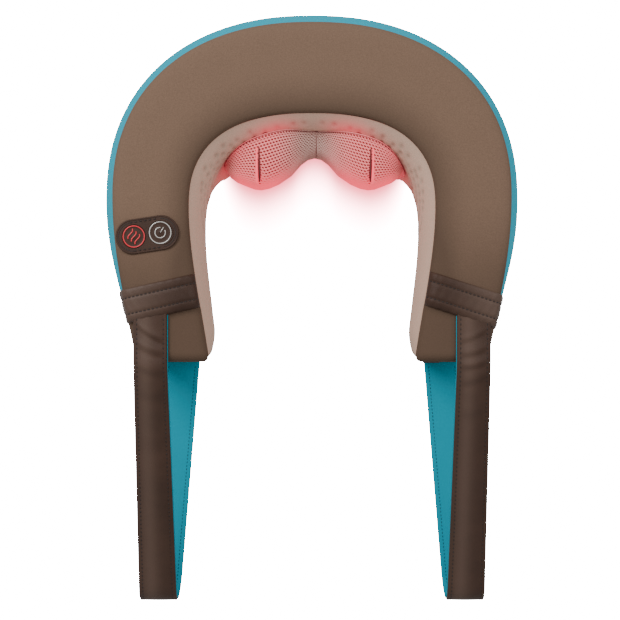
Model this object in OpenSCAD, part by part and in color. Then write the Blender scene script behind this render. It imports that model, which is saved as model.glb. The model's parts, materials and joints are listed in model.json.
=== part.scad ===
// Shiatsu neck massager: a U-shaped padded collar that lies flat, with two counter-rotating
// kneading heads at the back of the neck, driven by one double-ended worm motor, and a pull
// strap loop on each leg.
// Row frame: origin under the middle of the bounding box, on the rest plane. +Z up,
// +Y from the strap loops to the back of the collar, +X to the right. Millimetres.

/* [Collar] */
// Overall width of the collar
body_w = 360; // [340:1:380]
// Overall length, strap loops to collar back
body_l = 520; // [510:1:530]
// Height of the collar
body_h = 112; // [110:0.5:114]
// Width of the neck opening at its widest
opening_w = 188; // [182:1:194]
// Thickness of the padded cover panels
skin = 3; // [2.6:0.1:3.4]

/* [Kneading heads] */
// Distance between the two head axes
head_span = 96; // [95:0.5:97]
// Radius on which the rollers orbit
orbit_r = 15; // [14:0.5:15]
// Radius of a roller
roller_r = 13; // [12:0.5:13]

/* [Drive] */
// Teeth on each worm wheel
wheel_teeth = 48; // [48:1:48]
// Pitch radius of the worms
worm_r = 5; // [5:0.1:5]

/* [Cuffs and straps] */
// Width of a cuff band, along the leg
cuff_w = 28; // [26:0.5:30]
// Slant of the left cuff
cuff_tilt_left = 11; // [8:0.5:16]
// Slant of the right cuff
cuff_tilt_right = 18; // [12:0.5:20]
// Width of a strap
strap_w = 32; // [30:0.5:34]

/* [Controls] */
// Length of the control patch
patch_l = 53; // [50:0.5:56]
// Width of the control patch
patch_w = 29; // [28:0.5:31]
// Diameter of a button
button_d = 19.4; // [18:0.1:20]

/* [Hidden] */
$fn = 48;
BIG = 400;

LEFT = -1;
RIGHT = 1;

BROWN = [0.36, 0.27, 0.22];
TAUPE = [0.72, 0.62, 0.56];
TEAL = [0.0, 0.56, 0.66];
LEATHER = [0.24, 0.17, 0.14];
FOAM = [0.93, 0.90, 0.80];
NYLON = [0.90, 0.90, 0.86];
BLACK = [0.12, 0.12, 0.13];
BRONZE = [0.80, 0.62, 0.30];
ZINC = [0.72, 0.74, 0.76];

// Collar outline: a superellipse arch, then one cubic curve down each leg.
outer_a = body_w / 2;
outer_top = body_l / 2;
outer_yc = 98;
outer_n = 2.25;
inner_a = opening_w / 2;
inner_top = outer_top - 106;
inner_yc = 70;
inner_n = 2.5;
leg_end_y = -41;
leg_end_outer = 153.5;
leg_end_inner = 84.5;
ARCH_STEPS = 14;
LEG_STEPS = 7;

// Heights. The leg ends are slimmer, so that the strap layers lie flush above and below them.
mid_z = body_h / 2;
end_drop = 4;

// Cuffs
cuff_x = 126;
cuff_y = 11;

// Foam blocks meet on this plane.
foam_split_y = 95;

// Pouch over the rollers
pouch_y = 145;
pouch_r = 36;
pouch_wall = 2;
pouch_front_y = 137;
pouch_half_z = 37;
// Clear bay behind the pouch for the heads to turn in
head_bay_r = orbit_r + roller_r + 3;

// Heads: levels along Y, from the rollers back to the gearbox
roller_y = 132;
roller_back_y = 141.6;
arm_y = 142;
arm_t = 7;
hub_end_y = 155;
hub_r = 9;
hex_front_af = 8;
hex_gear_af = 10;
hex_start_y = arm_y + 5;
pin_r = 3;
head_bolt_r = 2;
head_bolt_len = 14;
bolt_head_r = 3.8;
bore_depth = 6;
run_gap = 0.05;
BALL_STEPS = 16;

// Output shafts and their bushes, front and rear
front_journal_r = 5;
rear_journal_r = 4;
front_bush_r = 8;
rear_bush_r = 7;
front_bush_y = 158;
front_bush_len = 9;
rear_bush_y = 186;
rear_bush_len = 7;
shaft_end_y = 194;

// Drive
gear_m = 1;
wheel_r = gear_m * wheel_teeth / 2;
wheel_y = 180;
wheel_w = 8;
worm_z = mid_z + wheel_r + worm_r;
worm_len = 22;
lead = PI * gear_m;
ADDENDUM = 0.9;
DEDENDUM = 1.15;
TOOTH_AT_PITCH = 1.3;
THREAD_AT_PITCH = 1.2;
FLANK = 20;

// Gearbox
box_half_x = 78;
box_low_z = 27;
box_high_z = 103;
box_front_y = 164;
box_back_y = 196;
box_wall = 2.5;
box_corner = 5;
box_chamfer = 4;
boss_wall = 2.5;
rib_t = 4;
post_r = 4;
thread_r = 1.5;
screw_clear_r = 1.7;
motor_r = 14;
motor_half = 19;
can_wall = 1.2;
commutator_r = 4;
core_r = 9;
shaft_r = 1.5;
end_bush_x = 64;
end_bush_r = 4;
plate_t = 2.5;
SCREWS = [[-73, 32], [73, 32], [-73, 98], [73, 98], [0, 36], [0, 58]];

// Strap loop
strap_t = 3.4;
lining_t = 1.4;
strap_x = 134;
strap_x_end = 138;
strap_x_back = 119;
strap_swing_y = -46;
flex_len = 40;
loop_r = 19.5;
loop_z = 20;
loop_y = loop_r - outer_top;

// Controls
patch_x = -137.5;
patch_y = 65.5;
patch_turn = 8.5;
button_pitch = 22.2;
patch_proud = 1.5;
control_floor_z = 86;

// Boards and heat lamps
board_t = 1.6;
lamp_board_r = 26;
lamp_orbit = 20;

// Inlet and leads
inlet_x = 101;
inlet_w = 10;
inlet_h = 12;
inlet_len = 16;
flange_w = 13;
flange_h = 15;
socket_r = 3.2;
socket_depth = 10;
inlet_pin_r = 1;
pin_root_r = 1.4;
pin_end = 14;
lead_z = 92;
lead_r = 2;
CONTROL_ROUTE = [[-138, 82], [-137, 96], [-134, 115], [-128, 136], [-118, 156], [-104, 173],
    [-92, 181], [-82, 183], [-73, 183]];
POWER_ROUTE = [[101, -24], [102, -12], [108, 6], [118, 26], [129, 50], [135, 76], [135, 100],
    [132, 122], [126, 141], [116, 158], [104, 172], [92, 181], [82, 183], [73, 183]];

// ---------- curves ----------

function arch_point(a, b, yc, n, t) = [a * pow(abs(cos(t)), 2 / n), yc + b * pow(sin(t), 2 / n)];

function bezier(p, t) = pow(1 - t, 3) * p[0] + 3 * t * pow(1 - t, 2) * p[1]
    + 3 * t * t * (1 - t) * p[2] + pow(t, 3) * p[3];

// Half outlines on the +X side, from the top of the arch to the leg's end, taken in by d.
function outer_half(d) = concat(
    [for (i = [0:ARCH_STEPS]) arch_point(outer_a - d, outer_top - outer_yc - d, outer_yc, outer_n,
        90 * (1 - i / ARCH_STEPS))],
    [for (i = [1:LEG_STEPS]) bezier([[outer_a - d, outer_yc], [outer_a - d, 48],
        [outer_a - 13 - d, 12], [leg_end_outer - d, leg_end_y]], i / LEG_STEPS)]);

function inner_half(d) = concat(
    [for (i = [0:ARCH_STEPS]) arch_point(inner_a + d, inner_top - inner_yc + d, inner_yc, inner_n,
        90 * (1 - i / ARCH_STEPS))],
    [for (i = [1:LEG_STEPS]) bezier([[inner_a + d, inner_yc], [inner_a + d, 40],
        [inner_a - 6 + d, 10], [leg_end_inner + d, leg_end_y]], i / LEG_STEPS)]);

function mirrored(pts) = [for (p = pts) [-p[0], p[1]]];
function reversed(pts) = [for (i = [len(pts) - 1:-1:0]) pts[i]];
function whole(half) = concat(reversed(mirrored(half)), [for (i = [1:len(half) - 1]) half[i]]);

// Collar plan between two depths: d_out in from the outer edge, d_in in from the neck opening.
module collar_plan(d_out, d_in) {
    polygon(concat(whole(outer_half(d_out)), reversed(whole(inner_half(d_in)))));
}

module collar(d_out, d_in, z0, z1) {
    translate([0, 0, z0]) linear_extrude(z1 - z0) collar_plan(d_out, d_in);
}

// The neck opening as a solid, taken in by d and run on past the leg ends.
module opening_solid(d) {
    ends = concat([[-(leg_end_inner + d), -BIG]], whole(inner_half(d)), [[leg_end_inner + d, -BIG]]);
    translate([0, 0, -BIG / 2]) linear_extrude(BIG) polygon(ends);
}

// Everything on one leg that is past a plane parallel to the cuff, at an offset from its middle.
module past_cuff(side, offset) {
    tilt = side == LEFT ? cuff_tilt_left : -cuff_tilt_right;
    translate([side * cuff_x, cuff_y, -BIG / 2]) rotate([0, 0, tilt])
        translate([-90, -BIG + offset, 0]) cube([180, BIG, BIG]);
}

module half_space(side) {
    translate([side < 0 ? -BIG : 0, -BIG, -BIG / 2]) cube([BIG, 2 * BIG, BIG]);
}

module side_mirror(side) {
    mirror([side < 0 ? 1 : 0, 0, 0]) children();
}

// A cylinder along +Y from y0 to y1, and one along +X from x0 to x1.
module rod_y(r, y0, y1, x = 0, z = 0, fn = 48) {
    translate([x, y0, z]) rotate([-90, 0, 0]) cylinder(r = r, h = y1 - y0, $fn = fn);
}

module rod_x(r, x0, x1, y = 0, z = 0, fn = 48) {
    translate([x0, y, z]) rotate([0, 90, 0]) cylinder(r = r, h = x1 - x0, $fn = fn);
}

// Hexagonal bar along Y, given across its flats.
module hex_y(af, y0, y1, x) {
    translate([x, y0, mid_z]) rotate([-90, 0, 0]) cylinder(d = af / cos(30), h = y1 - y0, $fn = 6);
}

// Block with rounded edges along Y.
module rounded_block(half_x, z0, z1, y0, y1, r) {
    translate([-half_x + r, y0, z0]) cube([2 * (half_x - r), y1 - y0, z1 - z0]);
    translate([-half_x, y0, z0 + r]) cube([2 * half_x, y1 - y0, z1 - z0 - 2 * r]);
    for (x = [-half_x + r, half_x - r], z = [z0 + r, z1 - r])
        rod_y(r, y0, y1, x, z);
}

// Slot with round ends along Y, around the two head axes.
module twin_slot(r, y0, y1) {
    for (s = [LEFT, RIGHT]) rod_y(r, y0, y1, s * head_span / 2, mid_z);
    translate([-head_span / 2, y0, mid_z - r]) cube([head_span, y1 - y0, 2 * r]);
}

// ---------- covers and foam ----------

module cover_panel(z0, z1) {
    difference() {
        collar(0, 0, z0, z1);
        for (s = [LEFT, RIGHT]) past_cuff(s, cuff_w / 2);
    }
}

module cover_top() {
    color(BROWN) difference() {
        cover_panel(body_h - skin, body_h);
        control_well(0.5);
    }
}

module cover_bottom() {
    color(BROWN) cover_panel(0, skin);
}

// The inner panel runs on under the cuffs to the leg ends; the gusset stops at the cuffs.
module inner_band(z0) {
    translate([0, 0, z0]) linear_extrude(body_h - 2 * z0)
        polygon(concat(whole(inner_half(0)), reversed(whole(inner_half(skin)))));
}

module outer_gusset() {
    color(TEAL) difference() {
        translate([0, 0, skin]) linear_extrude(body_h - 2 * skin)
            polygon(concat(whole(outer_half(0)), reversed(whole(outer_half(skin)))));
        for (s = [LEFT, RIGHT]) past_cuff(s, cuff_w / 2);
    }
}

module inner_panel() {
    color(TAUPE) difference() {
        union() {
            difference() {
                inner_band(skin);
                for (s = [LEFT, RIGHT]) past_cuff(s, -cuff_w / 2);
            }
            for (s = [LEFT, RIGHT]) intersection() {
                inner_band(skin + end_drop);
                half_space(s);
                past_cuff(s, -cuff_w / 2);
            }
        }
        twin_slot(head_bay_r, 100, 170);
    }
}

module pouch_shape(r, front_y, half_z) {
    for (s = [LEFT, RIGHT]) translate([s * head_span / 2, pouch_y, mid_z]) sphere(r, $fn = 64);
    twin_slot(half_z, front_y, pouch_y + 12);
}

module node_cover() {
    color(TAUPE) intersection() {
        difference() {
            pouch_shape(pouch_r, pouch_front_y, pouch_half_z);
            pouch_shape(pouch_r - pouch_wall, pouch_front_y + pouch_wall, pouch_half_z - pouch_wall);
            translate([-BIG / 2, pouch_y + 8, -BIG / 2]) cube(BIG);
        }
        opening_solid(-0.3);
    }
}

module mechanism_bay() {
    translate([-box_half_x - 4, 157.5, box_low_z - 3])
        cube([2 * box_half_x + 8, 48, box_high_z - box_low_z + 6]);
    twin_slot(head_bay_r, 100, 170);
}

// Channel in the foam for a lead, open at the top.
module lead_channel(route) {
    half = lead_r + 1;
    path = smooth(route, 4);
    left_edge = [for (i = [0:len(path) - 1]) path[i] + half * normal_at(path, i)];
    right_edge = [for (i = [len(path) - 1:-1:0]) path[i] - half * normal_at(path, i)];
    translate([0, 0, lead_z - half]) linear_extrude(BIG) polygon(concat(left_edge, right_edge));
}

module foam_leg(side) {
    color(FOAM) difference() {
        union() {
            difference() {
                leg_foam_block(side, skin);
                past_cuff(side, -cuff_w / 2);
            }
            intersection() {
                leg_foam_block(side, skin + end_drop);
                past_cuff(side, -cuff_w / 2);
            }
        }
        if (side == LEFT) {
            control_well(0.5);
            lead_channel(CONTROL_ROUTE);
        }
        if (side == RIGHT) {
            inlet_well();
            lead_channel(POWER_ROUTE);
        }
    }
}

module leg_foam_block(side, z0) {
    intersection() {
        collar(skin, skin, z0, body_h - z0);
        half_space(side);
        translate([-BIG, leg_end_y + skin, 0]) cube([2 * BIG, foam_split_y - leg_end_y - skin, BIG]);
    }
}

module foam_back() {
    color(FOAM) difference() {
        intersection() {
            collar(skin, skin, skin, body_h - skin);
            translate([-BIG, foam_split_y, 0]) cube([2 * BIG, BIG, BIG]);
        }
        mechanism_bay();
        lead_channel(CONTROL_ROUTE);
        lead_channel(POWER_ROUTE);
    }
}

module leg_end_cover(side) {
    color(BROWN) difference() {
        intersection() {
            collar(0, 0, end_drop, body_h - end_drop);
            half_space(side);
            past_cuff(side, -cuff_w / 2);
        }
        intersection() {
            collar(skin, skin, skin + end_drop, body_h - skin - end_drop);
            translate([-BIG, leg_end_y + skin, 0]) cube([2 * BIG, BIG, BIG]);
        }
        inner_band(skin + end_drop);
        if (side == RIGHT) inlet_well();
    }
}

module cuff(side) {
    color(LEATHER) difference() {
        intersection() {
            collar(0, 0, 0, body_h);
            half_space(side);
            past_cuff(side, cuff_w / 2);
        }
        past_cuff(side, -cuff_w / 2);
        collar(skin, skin, skin, body_h - skin);
        inner_band(skin);
    }
}

// ---------- straps ----------

// Where the upper strap layer meets the loop's end, seen from the side as [y, z].
upper_start = [strap_swing_y, body_h - strap_t / 2];
loop_centre = [loop_y, loop_z];
loop_mid_r = loop_r - strap_t / 2;
to_start = upper_start - loop_centre;
touch_angle = atan2(to_start[1], to_start[0]) + acos(loop_mid_r / norm(to_start));
touch = loop_centre + polar(loop_mid_r, touch_angle);
run_back = 8 * (upper_start - touch) / norm(upper_start - touch);
TURN_STEPS = 18;

// One face of the strap seen from the side, at a depth t below its outer face.
function strap_face(t) = let (r = loop_r - t) concat(
    [upper_start + run_back + polar(r - loop_mid_r, touch_angle)],
    [for (i = [0:TURN_STEPS])
        loop_centre + polar(r, touch_angle + (270 - touch_angle) * i / TURN_STEPS)],
    [[strap_swing_y + 8, loop_z - r]]);

// Plan of one layer, from its middle at the leg's end to the loop's end.
module layer_plan(x_start, z0, z1) {
    w = strap_w / 2;
    translate([0, 0, z0]) linear_extrude(z1 - z0) polygon([[x_start - w, 0], [x_start + w, 0],
        [x_start + w, strap_swing_y], [strap_x_end + w, loop_y], [strap_x_end + w, -BIG],
        [strap_x_end - w, -BIG], [strap_x_end - w, loop_y], [x_start - w, strap_swing_y]]);
}

// The strap between two depths below its outer face and two distances along Y.
module strap_part(side, t0, t1, y0, y1) {
    side_mirror(side) intersection() {
        translate([80, 0, 0]) rotate(a = 120, v = [1, 1, 1]) linear_extrude(90)
            polygon(concat(strap_face(t0), reversed(strap_face(t1))));
        union() {
            layer_plan(strap_x, loop_z, BIG);
            layer_plan(strap_x_back, -BIG, loop_z);
        }
        translate([0, y0, -BIG / 2]) cube([BIG, y1 - y0, BIG]);
    }
}

flex_end_y = strap_swing_y - flex_len;

module strap_loop(side) {
    color(LEATHER) strap_part(side, 0, strap_t - lining_t, -BIG, flex_end_y);
}

module strap_lining(side) {
    color(TEAL) strap_part(side, strap_t - lining_t, strap_t, -BIG, flex_end_y);
}

module strap_flex(side) {
    color(LEATHER) strap_part(side, 0, strap_t, flex_end_y, strap_swing_y);
}

// The two sewn-in ends of a strap, above and below the leg's end.
module strap_tab(side) {
    w = strap_w / 2;
    color(LEATHER) intersection() {
        side_mirror(side) {
            translate([strap_x - w, strap_swing_y, body_h - strap_t]) cube([strap_w, 80, strap_t]);
            translate([strap_x_back - w, strap_swing_y, loop_z - loop_r]) cube([strap_w, 80, strap_t]);
        }
        past_cuff(side, -cuff_w / 2);
    }
}

// ---------- controls ----------

module at_patch() {
    translate([patch_x, patch_y, 0]) rotate([0, 0, patch_turn]) children();
}

module stadium(l, w, z0, z1) {
    for (s = [-1, 1]) translate([s * (l - w) / 2, 0, z0]) cylinder(d = w, h = z1 - z0);
    translate([-(l - w) / 2, -w / 2, z0]) cube([l - w, w, z1 - z0]);
}

control_l = patch_l - 5;
control_w = patch_w - 5;

// Room for the control unit in the top cover and the foam below it.
module control_well(gap) {
    at_patch() stadium(control_l + 2 * gap, control_w + 2 * gap, control_floor_z - gap, BIG);
}

module button_hole(k, r, z0, z1) {
    translate([k * button_pitch / 2, 0, z0]) cylinder(r = r, h = z1 - z0);
}

module control_patch() {
    color(LEATHER) at_patch() difference() {
        stadium(patch_l, patch_w, body_h, body_h + patch_proud);
        for (k = [-1, 1]) button_hole(k, button_d / 2 + 0.3, body_h - 1, BIG);
    }
}

module button(k) {
    at_patch() {
        button_hole(k, button_d / 2, body_h - 1.5, body_h + patch_proud + 0.3);
        button_hole(k, 2.5, body_h - 4.6, body_h - 1);
    }
}

module control_housing() {
    color(BLACK) at_patch() difference() {
        stadium(control_l, control_w, control_floor_z, body_h - 0.2);
        stadium(control_l - 3, control_w - 3, control_floor_z + 1.5, BIG);
    }
}

board_z = body_h - 11.6;

module control_board() {
    color([0.1, 0.4, 0.2]) at_patch() stadium(control_l - 3.4, control_w - 3.4, board_z, board_z + board_t);
}

module tact_switches() {
    color(BLACK) at_patch() for (k = [-1, 1]) {
        translate([k * button_pitch / 2 - 3, -3, board_z + board_t]) cube([6, 6, 3.5]);
        button_hole(k, 1.7, board_z + 5, board_z + 6);
    }
}

// ---------- kneading heads ----------

// Ball with a flat back and a blind bore, turned from one outline about the pin's own axis.
module roller(side, up) {
    flat = roller_back_y - roller_y;
    bore_r = pin_r + run_gap;
    last = acos(-flat / roller_r);
    outline = concat([for (i = [0:BALL_STEPS]) let (a = last * i / BALL_STEPS)
        [roller_r * sin(a), -roller_r * cos(a)]],
        [[bore_r, flat], [bore_r, -bore_depth], [0, -bore_depth]]);
    color(NYLON) translate([side * head_span / 2, roller_y, mid_z + up * orbit_r])
        rotate([-90, 0, 0]) rotate_extrude($fn = 64) polygon(outline);
}

module roller_pins(side) {
    color("silver") for (up = [-1, 1])
        rod_y(pin_r, roller_y - bore_depth + 0.5, arm_y + arm_t,
            side * head_span / 2, mid_z + up * orbit_r);
}

module head_arm(side) {
    x = side * head_span / 2;
    tip_r = 8;
    color(NYLON) difference() {
        union() {
            for (up = [-1, 1]) rod_y(tip_r, arm_y, arm_y + arm_t, x, mid_z + up * orbit_r);
            translate([x - tip_r, arm_y, mid_z - orbit_r]) cube([2 * tip_r, arm_t, 2 * orbit_r]);
            rod_y(hub_r, arm_y, hub_end_y, x, mid_z);
        }
        for (up = [-1, 1]) rod_y(pin_r, arm_y - 1, hub_end_y, x, mid_z + up * orbit_r);
        hex_y(hex_front_af, hex_start_y, hub_end_y + 1, x);
        rod_y(head_bolt_r + 0.1, arm_y - 1, hub_end_y, x, mid_z);
        rod_y(bolt_head_r + 0.4, arm_y - 1, arm_y + 3, x, mid_z);
    }
}

module head_screw(side) {
    x = side * head_span / 2;
    color("silver") difference() {
        union() {
            rod_y(bolt_head_r, arm_y + 0.5, arm_y + 3, x, mid_z);
            rod_y(head_bolt_r, arm_y + 3, arm_y + head_bolt_len, x, mid_z);
        }
        for (turn = [0, 90]) translate([x, arm_y, mid_z]) rotate([0, turn, 0])
            translate([-2.4, 0, -0.5]) cube([4.8, 1.6, 1]);
    }
}

module output_shaft(side) {
    x = side * head_span / 2;
    color("silver") difference() {
        union() {
            hex_y(hex_front_af, hex_start_y, front_bush_y - 1, x);
            rod_y(front_journal_r, front_bush_y - 1, box_front_y + 4, x, mid_z);
            hex_y(hex_gear_af, box_front_y + 4, wheel_y + wheel_w / 2, x);
            rod_y(rear_journal_r, wheel_y + wheel_w / 2, shaft_end_y, x, mid_z);
        }
        rod_y(head_bolt_r, arm_y, arm_y + head_bolt_len + 0.2, x, mid_z);
    }
}

// ---------- worm drive ----------

pitch_angle = 360 / wheel_teeth;

function polar(r, a) = [r * cos(a), r * sin(a)];
function half_tooth(r) = (TOOTH_AT_PITCH / 2 - (r - wheel_r) * tan(FLANK)) / r * 180 / PI;

// Wheel outline with a tooth space on the +Y axis of its own plane.
module wheel_plan() {
    root = wheel_r - DEDENDUM;
    tip = wheel_r + ADDENDUM;
    polygon([for (i = [0:wheel_teeth - 1]) let (a = 90 + (i + 0.5) * pitch_angle)
        each [polar(root, a - half_tooth(root)), polar(wheel_r, a - half_tooth(wheel_r)),
            polar(tip, a - half_tooth(tip)), polar(tip, a + half_tooth(tip)),
            polar(wheel_r, a + half_tooth(wheel_r)), polar(root, a + half_tooth(root))]]);
}

// The helix is right-handed on the left wheel and left-handed on the right one, as are the worms.
module worm_wheel(side) {
    hand = -side;
    rise = wheel_w * lead / (2 * PI * worm_r) / wheel_r * 180 / PI;
    color([0.95, 0.93, 0.85]) translate([side * head_span / 2, wheel_y + wheel_w / 2, mid_z])
        rotate([90, 0, 0]) difference() {
            rotate([0, 0, -hand * rise / 2])
                linear_extrude(wheel_w, twist = -hand * rise, slices = 2, $fn = 12) wheel_plan();
            translate([0, 0, -1]) cylinder(d = hex_gear_af / cos(30), h = 20, $fn = 6);
            for (z = [-1, wheel_w - 2]) translate([0, 0, z]) difference() {
                cylinder(r = wheel_r - 4, h = 3, $fn = 12);
                cylinder(r = 9, h = 9, center = true, $fn = 12);
            }
        }
}

// Radius of the worm at an angle round its axis, for a thread centred on angle 0.
thread_tip = (THREAD_AT_PITCH / 2 - ADDENDUM * tan(FLANK)) / lead * 360;
thread_root = (THREAD_AT_PITCH / 2 + DEDENDUM * tan(FLANK)) / lead * 360;
function thread_radius(a) = abs(a) <= thread_tip ? worm_r + ADDENDUM
    : abs(a) >= thread_root ? worm_r - DEDENDUM
    : worm_r + ADDENDUM - (ADDENDUM + DEDENDUM) * (abs(a) - thread_tip) / (thread_root - thread_tip);
thread_flank = [for (k = [0:4]) thread_tip + (thread_root - thread_tip) * k / 4];
thread_angles = concat([0, thread_tip / 2], thread_flank, [thread_root + 20, 160, 180]);
section_angles = concat([for (i = [len(thread_angles) - 2:-1:1]) -thread_angles[i]], thread_angles);

module worm(side) {
    hand = -side;
    turns = worm_len / lead;
    x = side * head_span / 2;
    color([0.85, 0.70, 0.35]) translate([x - worm_len / 2, wheel_y, worm_z]) rotate([0, 90, 0])
        difference() {
            rotate([0, 0, -hand * turns * 180])
                linear_extrude(worm_len, twist = -hand * turns * 360, slices = round(turns * 14), $fn = 12)
                    polygon([for (a = section_angles) polar(thread_radius(a), a)]);
            translate([0, 0, -1]) cylinder(r = shaft_r / cos(22.5), h = worm_len + 2, $fn = 8);
        }
}

module rotor_shaft() {
    color("silver") rod_x(shaft_r, -end_bush_x - 4, end_bush_x + 4, wheel_y, worm_z);
}

module armature() {
    color([0.72, 0.42, 0.2]) difference() {
        union() {
            rod_x(core_r, -12, 10, wheel_y, worm_z);
            rod_x(commutator_r, 10, 16, wheel_y, worm_z);
        }
        rod_x(shaft_r, -20, 20, wheel_y, worm_z);
        for (k = [0:2]) translate([0, wheel_y, worm_z]) rotate([k * 120, 0, 0])
            translate([-13, -1, 5]) cube([24, 2, 6]);
    }
}

module motor_can() {
    color(ZINC) difference() {
        rod_x(motor_r, -motor_half, motor_half, wheel_y, worm_z);
        rod_x(motor_r - can_wall, -motor_half + 1.5, motor_half - 1.5, wheel_y, worm_z);
        rod_x(end_bush_r, -BIG, BIG, wheel_y, worm_z);
    }
}

module motor_magnets() {
    color(BLACK) difference() {
        rod_x(motor_r - can_wall - 0.2, -12, 12, wheel_y, worm_z);
        rod_x(core_r + 1, -13, 13, wheel_y, worm_z);
        translate([-20, wheel_y - 5, 0]) cube([40, 10, 200]);
    }
}

module rotor_bushes() {
    color(BRONZE) for (x = [-end_bush_x, -motor_half, motor_half, end_bush_x]) difference() {
        rod_x(end_bush_r, x - rib_t / 2, x + rib_t / 2, wheel_y, worm_z);
        rod_x(shaft_r + run_gap, x - 3, x + 3, wheel_y, worm_z);
    }
}

module output_bushes(r_out, r_in, y0, y1) {
    color(BRONZE) for (s = [LEFT, RIGHT]) difference() {
        rod_y(r_out, y0, y1, s * head_span / 2, mid_z);
        rod_y(r_in + run_gap, y0 - 1, y1 + 1, s * head_span / 2, mid_z);
    }
}

module front_bushes() {
    output_bushes(front_bush_r, front_journal_r, front_bush_y, front_bush_y + front_bush_len);
}

module rear_bushes() {
    output_bushes(rear_bush_r, rear_journal_r, rear_bush_y, rear_bush_y + rear_bush_len);
}

// ---------- gearbox ----------

// Ribs that hold the motor and the outer worm bushes, before their bores are cut.
module shaft_ribs(y0, y1) {
    for (s = [-1, 1]) {
        translate([s * end_bush_x - rib_t / 2, y0, worm_z - 6])
            cube([rib_t, y1 - y0, box_high_z - worm_z + 4]);
        translate([s * 11 - rib_t / 2, y0, worm_z - motor_r - 3])
            cube([rib_t, y1 - y0, box_high_z - worm_z + 15]);
    }
}

module shaft_bores() {
    rod_x(end_bush_r, -end_bush_x - 3, end_bush_x + 3, wheel_y, worm_z);
    rod_x(motor_r + 0.1, -motor_half - 1, motor_half + 1, wheel_y, worm_z);
}

module screw_posts(y0, y1) {
    for (p = SCREWS) rod_y(post_r, y0, y1, p[0], p[1]);
}

module lead_holes() {
    rod_x(lead_r + 0.6, -BIG, BIG, 183, lead_z);
}

module gearbox_front() {
    color(BLACK) difference() {
        union() {
            difference() {
                rounded_block(box_half_x, box_low_z, box_high_z, box_front_y, wheel_y, box_corner);
                rounded_block(box_half_x - box_wall, box_low_z + box_wall, box_high_z - box_wall,
                    box_front_y + box_wall, wheel_y + 1, box_corner - 2);
            }
            shaft_ribs(box_front_y + 1, wheel_y);
            screw_posts(box_front_y + 1, wheel_y);
            for (s = [LEFT, RIGHT])
                rod_y(front_bush_r + boss_wall, front_bush_y, box_front_y + 4, s * head_span / 2, mid_z);
        }
        for (s = [LEFT, RIGHT])
            rod_y(front_bush_r, front_bush_y - 8, box_front_y + 5, s * head_span / 2, mid_z);
        shaft_bores();
        for (p = SCREWS) rod_y(thread_r, box_front_y + 4, BIG, p[0], p[1]);
        // The top front edge is cut back behind the curve of the inner panel.
        translate([-BIG / 2, box_front_y, box_high_z - box_chamfer]) rotate([45, 0, 0])
            translate([0, -5, 0]) cube([BIG, 20, 10]);
    }
}

module gearbox_rear() {
    color(BLACK) difference() {
        union() {
            difference() {
                rounded_block(box_half_x, box_low_z, box_high_z, wheel_y, box_back_y, box_corner);
                rounded_block(box_half_x - box_wall, box_low_z + box_wall, box_high_z - box_wall,
                    wheel_y - 1, box_back_y - box_wall, box_corner - 2);
            }
            shaft_ribs(wheel_y, box_back_y - 1);
            screw_posts(wheel_y, box_back_y - 1);
            for (s = [LEFT, RIGHT])
                rod_y(rear_bush_r + boss_wall, rear_bush_y, box_back_y - 1, s * head_span / 2, mid_z);
        }
        for (s = [LEFT, RIGHT])
            rod_y(rear_bush_r, wheel_y, shaft_end_y + 0.5, s * head_span / 2, mid_z);
        shaft_bores();
        lead_holes();
        for (p = SCREWS) rod_y(screw_clear_r, 100, BIG, p[0], p[1]);
    }
}

module mounting_plate() {
    color(ZINC) difference() {
        rounded_block(box_half_x + 3, box_low_z - 2, box_high_z + 2, box_back_y, box_back_y + plate_t, 8);
        for (p = SCREWS) rod_y(screw_clear_r, 100, BIG, p[0], p[1]);
        for (x = [-52, 0, 52]) rod_y(12, 100, BIG, x, x == 0 ? 84 : mid_z);
    }
}

module gearbox_screws() {
    seat = box_back_y + plate_t;
    color("silver") for (p = SCREWS) difference() {
        union() {
            rod_y(3, seat, seat + 2.2, p[0], p[1]);
            rod_y(thread_r, box_front_y + 6, seat + 1, p[0], p[1]);
        }
        for (turn = [0, 90]) translate([p[0], seat + 1.2, p[1]]) rotate([0, turn, 0])
            translate([-2, 0, -0.4]) cube([4, 2, 0.8]);
    }
}

// ---------- heat lamps ----------

module led_boards() {
    color(NYLON) for (s = [LEFT, RIGHT]) difference() {
        rod_y(lamp_board_r, box_front_y - board_t, box_front_y, s * head_span / 2, mid_z);
        rod_y(front_bush_r + boss_wall + 0.3, 100, BIG, s * head_span / 2, mid_z);
    }
}

module heat_leds() {
    color("red") for (s = [LEFT, RIGHT], k = [0:5]) translate([s * head_span / 2, 0, mid_z])
        rotate([0, k * 60 + 30, 0]) {
            rod_y(2.5, box_front_y - 6, box_front_y - board_t, lamp_orbit, 0, 24);
            rod_y(2.9, box_front_y - 2.6, box_front_y - board_t, lamp_orbit, 0, 24);
        }
}

// ---------- inlet and leads ----------

module inlet_well() {
    gap = 0.2;
    translate([inlet_x - inlet_w / 2 - gap, leg_end_y - 1, lead_z - inlet_h / 2 - gap])
        cube([inlet_w + 2 * gap, inlet_len + 1 + gap, inlet_h + 2 * gap]);
}

module dc_jack() {
    color(BLACK) difference() {
        union() {
            translate([inlet_x - inlet_w / 2, leg_end_y, lead_z - inlet_h / 2])
                cube([inlet_w, inlet_len, inlet_h]);
            translate([inlet_x - flange_w / 2, leg_end_y - 1, lead_z - flange_h / 2])
                cube([flange_w, 1, flange_h]);
        }
        rod_y(socket_r, leg_end_y - 2, leg_end_y + socket_depth, inlet_x, lead_z);
        rod_y(pin_root_r, leg_end_y, leg_end_y + pin_end, inlet_x, lead_z);
    }
}

module jack_pin() {
    color("silver") {
        rod_y(inlet_pin_r, leg_end_y + 1, leg_end_y + socket_depth, inlet_x, lead_z);
        rod_y(pin_root_r, leg_end_y + socket_depth, leg_end_y + pin_end, inlet_x, lead_z);
    }
}

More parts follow.
